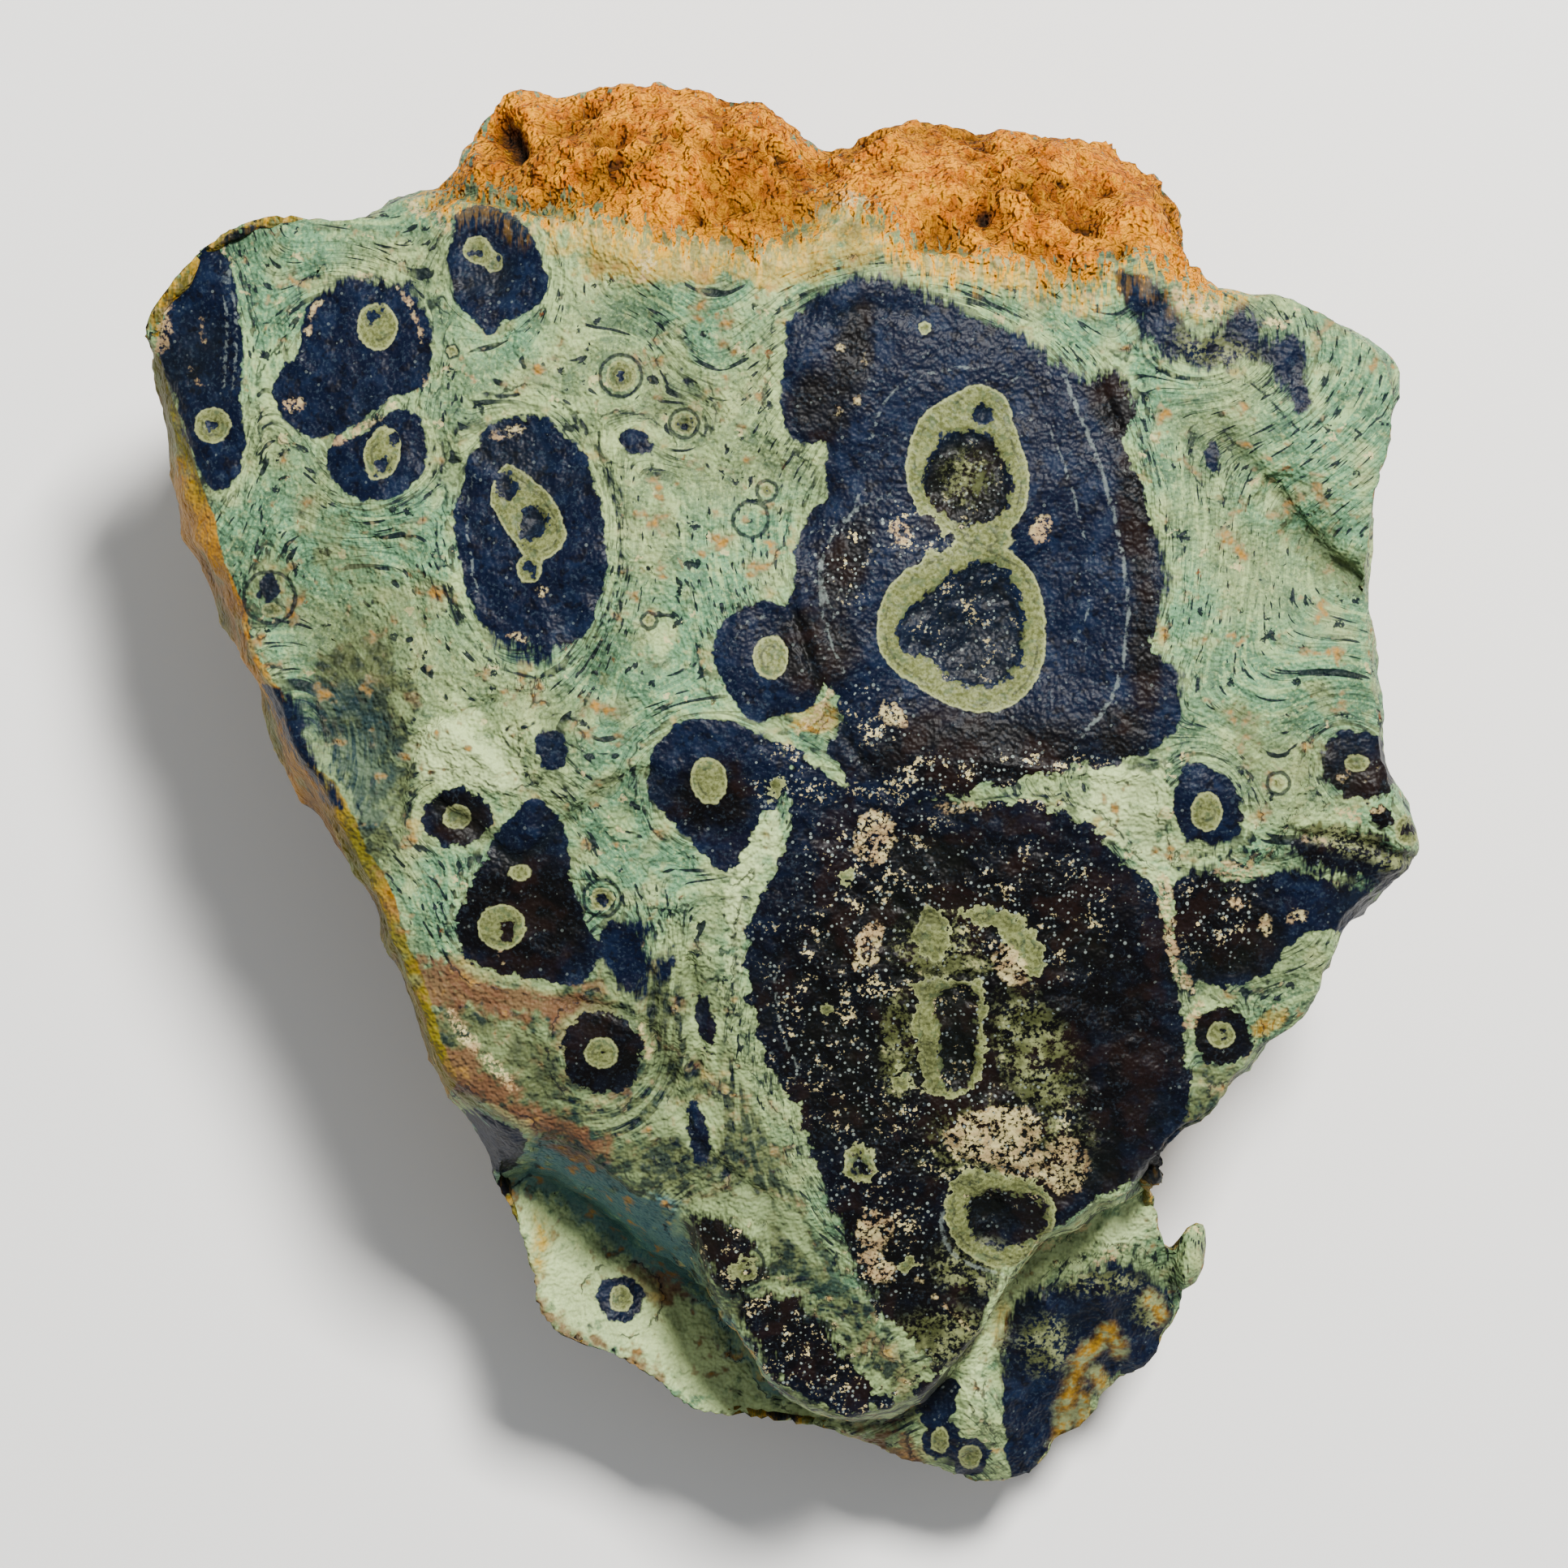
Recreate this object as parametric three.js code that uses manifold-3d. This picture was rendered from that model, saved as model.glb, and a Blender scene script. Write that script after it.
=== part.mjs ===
// A rough hand specimen of orbicular green stone, broken from the outcrop and never cut or polished.
// It lies on its back with its broad patterned face up. Millimetres, +Z up, +Y towards the orange
// weathered rind, the origin under the middle of its box.
import * as THREE from 'three';
import { ImprovedNoise } from 'three/addons/math/ImprovedNoise.js';
import { mergeVertices } from 'three/addons/utils/BufferGeometryUtils.js';
import Module from 'manifold-3d';

// Driving dimensions
const OUTLINE_LENGTH = 131.5; // along Y, as the outline measures at the height of the face
const FACE_HEIGHT = 50; // the patterned face above the surface that the stone rests on
const LOWER_FACE_TILT = 17; // degrees that the lower half of the face falls away
const DOME_DROP = 3; // fall of the upper face from its middle to its sides
const TOP_DROP = 2; // fall of the upper face towards the rind
const WALL_INSET = 3.2; // how far the broken side walls draw in below the rim
const KNOB_SIZE = { across: 4.2, along: 7.6, deep: 6 };
const KNOB_LEAN = 14; // degrees from +Y
const RIND_LUMP = 2.5; // height of the rind's larger knobs
const WALL_BREAK = 1.9; // depth of the facets broken into the side walls

// The outline was read off a photograph taken from straight above
const OUTLINE_PX = 1733; // the same length in the photograph's pixels
const MM_PER_PX = OUTLINE_LENGTH / OUTLINE_PX;
const EYE_ABOVE_FACE = 420; // distance of the viewpoint, for the spread of what lies lower
const CENTRE_PX = { u: 966, v: 966 };

// Corners round each ring of the mesh
const RIM_STEPS = 192;
const CURVE_SAMPLES = 1440;

// The silhouette: [u, v, height], clockwise from the left corner
const RIM = [
  [172, 405, 39], [180, 390, 39], [212, 348, 40], [247, 310, 40], [275, 288, 41], [322, 267, 41],
  [390, 267, 41], [448, 266, 40], [475, 239, 38], [512, 227, 37], [550, 223, 36], [577, 180, 35],
  [604, 139, 34], [622, 120, 34], [655, 113, 33], [700, 123, 33], [720, 109, 33], [775, 101, 33],
  [822, 106, 33], [845, 100, 33], [895, 117, 33], [930, 116, 33], [960, 138, 33], [1003, 175, 33],
  [1020, 183, 33], [1050, 166, 32], [1100, 145, 32], [1130, 138, 32], [1165, 146, 32], [1240, 155, 31],
  [1300, 163, 31], [1355, 174, 30], [1400, 203, 30], [1425, 210, 30], [1447, 230, 30], [1466, 298, 31],
  [1488, 346, 35], [1515, 357, 41], [1600, 370, 43], [1640, 389, 43], [1680, 415, 43], [1710, 441, 42],
  [1723, 465, 41], [1715, 540, 40], [1695, 615, 40], [1691, 660, 40], [1688, 755, 40], [1703, 850, 40],
  [1714, 950, 39], [1744, 1003, 37], [1758, 1050, 36], [1748, 1070, 36], [1700, 1110, 37],
  [1655, 1150, 37], [1650, 1180, 37], [1634, 1213, 36], [1625, 1248, 36], [1570, 1288, 36],
  [1530, 1330, 35], [1497, 1375, 34], [1440, 1412, 34], [1434, 1434, 33], [1415, 1452, 31],
  [1424, 1492, 22], [1440, 1535, 20], [1468, 1584, 17], [1446, 1635, 16], [1430, 1665, 15],
  [1410, 1690, 15], [1378, 1707, 14], [1360, 1727, 14], [1347, 1756, 14], [1298, 1782, 14],
  [1288, 1803, 14], [1270, 1820, 14], [1240, 1828, 14], [1208, 1832, 14], [1150, 1809, 15],
  [1120, 1806, 16], [1062, 1780, 17], [1000, 1758, 19], [950, 1753, 20], [900, 1750, 21],
  [860, 1744, 22], [832, 1729, 22], [812, 1708, 23], [765, 1681, 24], [735, 1668, 25], [700, 1658, 25],
  [672, 1635, 25], [658, 1612, 25], [653, 1575, 25], [638, 1520, 26], [622, 1480, 27], [604, 1445, 28],
  [590, 1410, 29], [556, 1358, 30], [535, 1328, 30], [505, 1262, 30], [490, 1218, 30], [462, 1152, 30],
  [455, 1130, 30], [430, 1095, 30], [405, 1050, 30], [380, 1005, 30], [352, 963, 30], [335, 925, 30],
  [319, 878, 30], [312, 850, 31], [285, 800, 31], [262, 755, 31], [247, 715, 31], [222, 662, 32],
  [214, 630, 32], [207, 595, 33], [205, 560, 33], [192, 510, 34], [184, 470, 35], [178, 435, 37],
];

// The border of the patterned face: [u, v], clockwise from the left corner
const FACE_EDGE = [
  [200, 385], [222, 350], [254, 318], [285, 300], [330, 282], [400, 280], [460, 274], [500, 266],
  [540, 262], [600, 252], [680, 275], [760, 290], [830, 308], [900, 312], [1000, 310], [1060, 300],
  [1150, 310], [1250, 320], [1310, 330], [1360, 312], [1400, 322], [1450, 345], [1500, 360],
  [1560, 366], [1600, 375], [1640, 395], [1680, 421], [1706, 447], [1715, 470], [1709, 540],
  [1690, 615], [1685, 660], [1681, 755], [1695, 850], [1706, 950], [1728, 1003], [1740, 1045],
  [1728, 1068], [1690, 1100], [1648, 1142], [1640, 1178], [1624, 1210], [1612, 1244], [1562, 1280],
  [1522, 1322], [1490, 1365], [1436, 1404], [1424, 1430], [1406, 1450], [1372, 1480], [1345, 1487],
  [1332, 1505], [1310, 1516], [1285, 1524], [1262, 1548], [1240, 1575], [1222, 1612], [1195, 1660],
  [1165, 1690], [1130, 1722], [1050, 1744], [1000, 1735], [955, 1705], [935, 1685], [905, 1640],
  [870, 1590], [845, 1503], [805, 1483], [765, 1455], [725, 1425], [690, 1400], [640, 1388],
  [600, 1362], [575, 1345], [545, 1310], [530, 1275], [515, 1230], [495, 1185], [475, 1145],
  [466, 1105], [447, 1070], [428, 1035], [410, 990], [398, 963], [368, 935], [354, 900], [345, 865],
  [322, 830], [305, 800], [302, 760], [292, 725], [276, 690], [268, 650], [256, 615], [243, 580],
  [233, 545], [220, 510], [206, 470], [196, 440],
];

// The foot of the step round the bottom, where the set-back chunk and the pale ledge begin:
// [u, v, height], from the notch on the right to the ledge's end on the left
const STEP_FOOT = [
  [1419, 1460, 25], [1378, 1488, 23], [1350, 1494, 23], [1337, 1511, 22], [1314, 1522, 22],
  [1290, 1530, 22], [1267, 1554, 22], [1245, 1581, 22], [1228, 1617, 21], [1202, 1665, 21],
  [1172, 1697, 20], [1138, 1732, 19], [1060, 1756, 19], [1000, 1743, 19], [955, 1716, 20],
  [930, 1680, 20], [900, 1640, 21], [870, 1604, 21], [820, 1575, 21.5], [790, 1550, 22],
  [750, 1515, 22.5], [700, 1475, 23.5], [650, 1450, 25], [612, 1458, 26],
];
const STEP_SECTOR = { from: -126, to: -47, fade: 3 }; // degrees round from +X
const KNOB_PX = { u: 1462, v: 1552, height: 18.5 };

// Broken facets of the underside: the way each one faces, how far out it starts, and its slope
const BACK_FACETS = [
  { facing: 10, start: 30, slope: 0.62 }, { facing: 62, start: 31, slope: 0.55 },
  { facing: 112, start: 33, slope: 0.6 }, { facing: 158, start: 29, slope: 0.58 },
  { facing: 205, start: 30, slope: 0.48 }, { facing: 250, start: 31, slope: 0.24 },
  { facing: 300, start: 34, slope: 0.2 }, { facing: 335, start: 33, slope: 0.42 },
];

// Low forms of the face and the rind: place, radius in pixels, and rise in millimetres
const FORMS = [
  { u: 1185, v: 598, radius: 48, rise: -0.9 }, { u: 1192, v: 770, radius: 78, rise: -0.9 },
  { u: 1220, v: 1500, radius: 60, rise: -1.4 }, { u: 1235, v: 1395, radius: 55, rise: 1.1 },
  { u: 905, v: 1560, radius: 48, rise: 1.6 }, { u: 742, v: 1297, radius: 50, rise: 0.9 },
  { u: 850, v: 1330, radius: 60, rise: -1.5 }, { u: 620, v: 965, radius: 70, rise: -1.2 },
  { u: 455, v: 760, radius: 80, rise: -1.1 }, { u: 560, v: 930, radius: 42, rise: 1.2 },
  { u: 450, v: 930, radius: 60, rise: -1.6 }, { u: 700, v: 1200, radius: 90, rise: 1 },
  { u: 625, v: 165, radius: 27, rise: -2.2 }, { u: 715, v: 225, radius: 18, rise: -1.6 },
  { u: 1150, v: 185, radius: 24, rise: -2 }, { u: 1312, v: 215, radius: 18, rise: -1.6 },
  { u: 1342, v: 245, radius: 22, rise: -1.8 }, { u: 800, v: 170, radius: 60, rise: 1.4 },
  { u: 900, v: 200, radius: 50, rise: 1.2 }, { u: 1235, v: 205, radius: 55, rise: 1.2 },
  { u: 760, v: 310, radius: 40, rise: 0.9 }, { u: 1420, v: 280, radius: 60, rise: 1 },
  { u: 1340, v: 1600, radius: 70, rise: 1.6 }, { u: 1200, v: 1770, radius: 45, rise: 1.3 },
];

// The slanting break on the right of the face: the ground below and left of it lies lower
const SLANT_BREAK = { from: [1500, 515], to: [1690, 735], drop: 2.4, reach: 62, width: 9 };

const noise = new ImprovedNoise();
const { lerp, smoothstep, clamp, degToRad, radToDeg, euclideanModulo } = THREE.MathUtils;

// A point of the photograph, at a height on the stone, in the stone's frame
function place(u, v, z) {
  const scale = MM_PER_PX * (1 + (FACE_HEIGHT - z) / EYE_ABOVE_FACE);
  return new THREE.Vector3((u - CENTRE_PX.u) * scale, (CENTRE_PX.v - v) * scale, z);
}

// Where the viewpoint sees a point of the stone, in pixels
function seenAt(point) {
  const scale = MM_PER_PX * (1 + (FACE_HEIGHT - point.z) / EYE_ABOVE_FACE);
  return { u: CENTRE_PX.u + point.x / scale, v: CENTRE_PX.v - point.y / scale };
}

// Rolling unevenness of broken stone
function lumps(x, y, size, seed) {
  return noise.noise(x / size, y / size, seed);
}

// The sum of the low forms at a place in the photograph
function formsAt(u, v) {
  return FORMS.reduce((sum, form) => {
    const off = Math.hypot(u - form.u, v - form.v) / form.radius;
    return sum + form.rise * Math.exp(-off * off);
  }, 0);
}

// The ground drops at once below the slanting break, and rises back over its reach
function slantBreak(u, v) {
  const [u0, v0] = SLANT_BREAK.from;
  const [u1, v1] = SLANT_BREAK.to;
  const length = Math.hypot(u1 - u0, v1 - v0);
  const along = ((u - u0) * (u1 - u0) + (v - v0) * (v1 - v0)) / length;
  const below = ((v - v0) * (u1 - u0) - (u - u0) * (v1 - v0)) / length;
  const ends = smoothstep(along, 0, length / 2) * (1 - smoothstep(along, length * 0.9, length * 1.2));
  const fall = smoothstep(below, -SLANT_BREAK.width, SLANT_BREAK.width);
  return -SLANT_BREAK.drop * ends * fall * Math.exp(-Math.max(below, 0) / SLANT_BREAK.reach);
}

// Height of the patterned face
function faceHeight(u, v) {
  const x = (u - CENTRE_PX.u) * MM_PER_PX;
  const y = (CENTRE_PX.v - v) * MM_PER_PX;
  const half = OUTLINE_LENGTH / 2;
  const dome = DOME_DROP * (x / half) ** 2;
  const top = TOP_DROP * Math.max(0, (y - 20) / half) ** 2;
  const past = -y;
  const tilt = Math.tan(degToRad(LOWER_FACE_TILT)) * (past + Math.hypot(past, 4)) / 2;
  const left = 0.16 * Math.max(0, -x - 26 + 0.35 * y);
  const uneven = 1.1 * lumps(x, y, 15, 1.7) + 0.55 * lumps(x, y, 6.5, 8.3);
  return FACE_HEIGHT - dome - top - tilt - left + uneven + formsAt(u, v) + slantBreak(u, v);
}

// A closed curve through the corners of an outline, as close-set points
function closedCurve(points) {
  const curve = new THREE.CatmullRomCurve3(points, true, 'centripetal');
  curve.arcLengthDivisions = CURVE_SAMPLES;
  return curve;
}

// A ring as a table of azimuth against place, for looking up the point that faces a given way
function byAzimuth(points) {
  const table = points.map((point) => ({ azimuth: azimuthOf(point), point }));
  return table.sort((a, b) => a.azimuth - b.azimuth);
}

function azimuthOf(point) {
  return euclideanModulo(radToDeg(Math.atan2(point.y, point.x)), 360);
}

function facing(table, azimuth) {
  const wanted = euclideanModulo(azimuth, 360);
  let next = table.findIndex((entry) => entry.azimuth > wanted);
  if (next < 0) next = 0;
  const before = table[(next + table.length - 1) % table.length];
  const after = table[next];
  const gap = euclideanModulo(after.azimuth - before.azimuth, 360) || 1;
  const share = euclideanModulo(wanted - before.azimuth, 360) / gap;
  return before.point.clone().lerp(after.point, clamp(share, 0, 1));
}

// The rim, spaced evenly along its length and turning one way only
function rimRing() {
  const corners = RIM.map(([u, v, z]) => place(u, v, z)).reverse();
  return closedCurve(corners).getSpacedPoints(RIM_STEPS).slice(0, RIM_STEPS);
}

// The azimuths of the rim's points, evened out so that inner rings have no crowded corners
function evenAzimuths(rim) {
  const turns = [azimuthOf(rim[0])];
  rim.slice(1).forEach((point, i) => {
    const turn = euclideanModulo(azimuthOf(point) - turns[i] + 180, 360) - 180;
    turns.push(turns[i] + turn);
  });
  const around = (j) => turns[euclideanModulo(j, RIM_STEPS)] + 360 * Math.floor(j / RIM_STEPS);
  return turns.map((_, i) => (around(i - 2) + around(i - 1) + around(i) + around(i + 1) + around(i + 2)) / 5);
}

// How much of the step at the bottom is present at an azimuth, from 0 to 1
function stepShare(azimuth) {
  const signed = euclideanModulo(azimuth + 180, 360) - 180;
  const { from, to, fade } = STEP_SECTOR;
  return smoothstep(signed, from - fade, from) * (1 - smoothstep(signed, to, to + fade));
}

// The foot of the step, or elsewhere a shoulder part of the way down from the face to the rim
function footPoint(stepTable, edge, rim, azimuth) {
  const shoulder = edge.clone().lerp(rim, 0.3);
  shoulder.z = lerp(edge.z, rim.z, 0.18);
  return shoulder.lerp(facing(stepTable, azimuth), stepShare(azimuth));
}

// Knobs and pits of the weathered rind, and the lesser unevenness of the ledge and the chunk
function roughen(point, share) {
  const { u, v } = seenAt(point);
  const rind = (1 - smoothstep(v, 250, 345)) * smoothstep(u, 440, 560) * (1 - smoothstep(u, 1300, 1500));
  const size = lerp(0.6, RIND_LUMP, rind);
  const rough = size * lumps(point.x, point.y, 6.2, 4.1) + 0.7 * size * lumps(point.x, point.y, 3.1, 6.6);
  const middle = Math.sin(Math.PI * share) ** 0.6;
  point.z += middle * (rough + formsAt(u, v));
  return point;
}

// Height of the underside: flat where the stone rests, then broken facets that rise outwards
function backHeight(x, y) {
  const facets = BACK_FACETS.map(({ facing: turn, start, slope }) => {
    const out = x * Math.cos(degToRad(turn)) + y * Math.sin(degToRad(turn)) - start;
    return slope * out;
  });
  const rise = Math.max(0, ...facets);
  const uneven = 2.2 * Math.abs(lumps(x, y, 15, 2.9)) + 0.9 * lumps(x, y, 7, 7.7);
  return rise + Math.min(1, rise / 5) * uneven;
}

// The border of the flat that the stone rests on
function restPoint(azimuth) {
  const reaches = BACK_FACETS.map(({ facing: turn, start }) => {
    const lean = Math.cos(degToRad(azimuth - turn));
    return lean > 0.2 ? start / lean : Infinity;
  });
  const reach = Math.min(...reaches);
  return new THREE.Vector3(reach * Math.cos(degToRad(azimuth)), reach * Math.sin(degToRad(azimuth)), 0);
}

// A point on a broken side wall, some way down from the rim to the underside
function wallPoint(rim, down) {
  const wide = Math.abs(lumps(rim.x, rim.y, 11, 5.5 + 0.8 * down));
  const small = Math.abs(lumps(rim.x, rim.y, 5, 9.5 + down));
  const facet = wide + 0.5 * small;
  const inset = WALL_INSET * down ** 1.4 + WALL_BREAK * (0.3 + 1.6 * facet) * Math.sin(Math.PI * down) ** 0.7;
  const shrink = 1 - inset / Math.hypot(rim.x, rim.y);
  const x = rim.x * shrink;
  const y = rim.y * shrink;
  const bottom = Math.min(backHeight(x, y), rim.z - 4);
  return new THREE.Vector3(x, y, lerp(rim.z, bottom, down));
}

const every = (list, step) => list.filter((_, i) => i % step === 0);

// The rings of the patterned face, from the middle outwards
function faceRings(edge) {
  const onFace = (corner, share) => {
    const plan = corner.clone().multiplyScalar(share);
    const u = CENTRE_PX.u + plan.x / MM_PER_PX;
    const v = CENTRE_PX.v - plan.y / MM_PER_PX;
    const guess = faceHeight(u, v);
    const seen = seenAt(plan.setZ(guess));
    return plan.setZ(faceHeight(seen.u, seen.v)).clone();
  };
  const ringAt = (step) => (share) => every(edge, step).map((corner) => onFace(corner, share));
  const core = [0.1, 0.2, 0.3].map(ringAt(4));
  const middle = [0.39, 0.48, 0.57, 0.66, 0.74].map(ringAt(2));
  const outer = [0.81, 0.87, 0.925, 0.97].map(ringAt(1));
  return { centre: onFace(edge[0], 0), rings: [...core, ...middle, ...outer] };
}

// The rings between the face's edge and the rim
function shoulderRings(edge, foot, rim) {
  const cliff = edge.map((corner, i) => {
    const point = corner.clone().lerp(foot[i], 0.5);
    return point.setZ(lerp(corner.z, foot[i].z, 0.42));
  });
  const slopes = [0.22, 0.45, 0.68, 0.87].map((share) =>
    foot.map((corner, i) => {
      const point = corner.clone().lerp(rim[i], share);
      point.z = lerp(corner.z, rim[i].z, share ** 1.5);
      return roughen(point, share);
    }));
  return [cliff, foot, ...slopes, rim];
}

// The rings of the side walls and of the underside, down to the flat
function backRings(rim, azimuths) {
  const walls = [0.3, 0.65, 1].map((down) => rim.map((corner) => wallPoint(corner, down)));
  const lowest = every(walls[2], 2);
  const rest = every(azimuths, 2).map((azimuth) => restPoint(azimuth));
  const under = [0.25, 0.5, 0.75].map((share) =>
    lowest.map((corner, i) => {
      const point = corner.clone().lerp(rest[i], share);
      return point.setZ(Math.max(0.05, backHeight(point.x, point.y)));
    }));
  const inner = every(rest, 2).map((corner) => corner.clone().multiplyScalar(0.5));
  return [...walls, ...under, rest, inner];
}

// Triangles between two rings, of which one may have twice the other's points
function stitch(faces, outer, outerStart, inner, innerStart) {
  const steps = Math.max(outer, inner);
  const outerRatio = steps / outer;
  const innerRatio = steps / inner;
  for (let i = 0; i < steps; i += 1) {
    const j = (i + 1) % steps;
    const a = outerStart + Math.floor(i / outerRatio);
    const b = outerStart + Math.floor(j / outerRatio);
    const c = innerStart + Math.floor(i / innerRatio);
    const d = innerStart + Math.floor(j / innerRatio);
    if (a !== b) faces.push(a, b, d);
    if (c !== d) faces.push(a, d, c);
  }
}

// One closed skin over a stack of rings, with a point at each end
function skin(top, rings, bottom) {
  const points = [top, ...rings.flat(), bottom];
  const faces = [];
  let start = 1;
  rings[0].forEach((_, i) => faces.push(0, start + i, start + ((i + 1) % rings[0].length)));
  rings.slice(1).forEach((ring, k) => {
    const before = rings[k].length;
    stitch(faces, ring.length, start + before, before, start);
    start += before;
  });
  const last = rings[rings.length - 1].length;
  const end = points.length - 1;
  for (let i = 0; i < last; i += 1) faces.push(start + ((i + 1) % last), start + i, end);
  const geometry = new THREE.BufferGeometry();
  const places = points.flatMap((point) => [point.x, point.y, point.z]);
  geometry.setAttribute('position', new THREE.Float32BufferAttribute(places, 3));
  geometry.setIndex(faces);
  return geometry;
}

// The body of the stone
function stoneBody() {
  const rim = rimRing();
  const azimuths = evenAzimuths(rim);
  const corners = FACE_EDGE.map(([u, v]) => place(u, v, faceHeight(u, v) - 0.3));
  const edgeTable = byAzimuth(closedCurve(corners).getPoints(CURVE_SAMPLES));
  const footCorners = STEP_FOOT.map(([u, v, z]) => place(u, v, z));
  const footCurve = new THREE.CatmullRomCurve3(footCorners, false, 'centripetal');
  const stepTable = byAzimuth(footCurve.getPoints(CURVE_SAMPLES));
  const edge = azimuths.map((azimuth) => facing(edgeTable, azimuth));
  const foot = azimuths.map((azimuth, i) => footPoint(stepTable, edge[i], rim[i], azimuth));
  const face = faceRings(edge);
  const rings = [...face.rings, edge, ...shoulderRings(edge, foot, rim), ...backRings(rim, azimuths)];
  return skin(face.centre, rings, new THREE.Vector3(0, 0, 0));
}

// The small knob that stands out of the set-back chunk beside the notch
function knob() {
  const geometry = new THREE.IcosahedronGeometry(1, 3);
  geometry.scale(KNOB_SIZE.across / 2, KNOB_SIZE.along / 2, KNOB_SIZE.deep / 2);
  geometry.rotateZ(degToRad(-KNOB_LEAN));
  const seat = place(KNOB_PX.u, KNOB_PX.v, KNOB_PX.height);
  geometry.translate(seat.x, seat.y, seat.z);
  return geometry;
}

const wasm = await Module();
wasm.setup();

function toSolid(geometry) {
  geometry.deleteAttribute('normal');
  geometry.deleteAttribute('uv');
  const merged = mergeVertices(geometry, 1e-4);
  return new wasm.Manifold(new wasm.Mesh({
    numProp: 3,
    vertProperties: new Float32Array(merged.attributes.position.array),
    triVerts: new Uint32Array(merged.index.array),
  }));
}

function toGeometry(solid) {
  const mesh = solid.getMesh();
  const geometry = new THREE.BufferGeometry();
  geometry.setAttribute('position', new THREE.BufferAttribute(mesh.vertProperties, 3));
  geometry.setIndex(new THREE.BufferAttribute(mesh.triVerts, 1));
  return geometry;
}

// The whole stone, moved sideways so that the origin is under the middle of its box
function stone() {
  const geometry = toGeometry(toSolid(stoneBody()).add(toSolid(knob())));
  geometry.computeBoundingBox();
  const middle = geometry.boundingBox.getCenter(new THREE.Vector3());
  geometry.translate(-middle.x, -middle.y, 0);
  geometry.computeVertexNormals();
  const material = new THREE.MeshStandardMaterial({ color: 0x74896a, roughness: 0.62, metalness: 0 });
  const mesh = new THREE.Mesh(geometry, material);
  mesh.name = 'kambaba_jasper_stone';
  return mesh;
}

const group = new THREE.Group();
group.add(stone());

export default group;
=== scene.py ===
# A rough kambaba jasper stone, lying on its back with its orbed face up.
import math

import bmesh
import bpy
import numpy as np
from bpy.props import FloatProperty, FloatVectorProperty, PointerProperty
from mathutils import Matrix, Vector


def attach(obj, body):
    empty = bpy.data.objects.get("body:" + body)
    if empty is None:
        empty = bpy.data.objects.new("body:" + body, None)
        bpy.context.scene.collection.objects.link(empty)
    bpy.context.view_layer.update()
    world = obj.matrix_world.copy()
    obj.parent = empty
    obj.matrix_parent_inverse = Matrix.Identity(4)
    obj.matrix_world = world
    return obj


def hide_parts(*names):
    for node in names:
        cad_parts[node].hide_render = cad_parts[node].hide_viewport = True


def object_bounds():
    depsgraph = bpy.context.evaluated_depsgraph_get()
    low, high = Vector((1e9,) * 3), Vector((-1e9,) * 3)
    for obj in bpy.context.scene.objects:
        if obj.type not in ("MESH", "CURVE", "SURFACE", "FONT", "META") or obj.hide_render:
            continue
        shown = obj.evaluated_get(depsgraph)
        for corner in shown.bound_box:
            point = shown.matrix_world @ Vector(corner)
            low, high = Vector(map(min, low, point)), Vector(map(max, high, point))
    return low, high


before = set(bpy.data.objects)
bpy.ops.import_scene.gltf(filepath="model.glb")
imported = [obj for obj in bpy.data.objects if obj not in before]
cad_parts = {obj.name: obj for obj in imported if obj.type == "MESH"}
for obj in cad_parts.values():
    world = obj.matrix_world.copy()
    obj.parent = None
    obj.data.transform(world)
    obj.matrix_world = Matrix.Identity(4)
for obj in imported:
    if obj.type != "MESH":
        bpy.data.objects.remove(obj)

bl_info = {
    "name": "Kambaba Jasper Stone",
    "version": (1, 0, 0),
    "blender": (4, 5, 0),
    "location": "3D View > Sidebar > Jasper",
    "description": "Builds the fine surface, the orbs and the stage of a rough kambaba jasper stone",
    "category": "Object",
}

NODE = "kambaba_jasper_stone"
CAD_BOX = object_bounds()
MM = 0.001

# The view that the face was drawn from: straight down, over a point a little off the stone's middle
PX_MM = 131.5 / 1733  # width of a pixel at the face
FACE_MM = 50.0  # height of the face
EYE_MM = 420.0  # from the face up to the viewpoint
FRAME_PX = 1932  # side of the picture
CENTRE_PX = FRAME_PX / 2.0
AXIS_MM = (-0.14, 1.49)  # the place under the viewpoint
FAR_PX = 60.0  # distances from a marking are only worked out up to here

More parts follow.
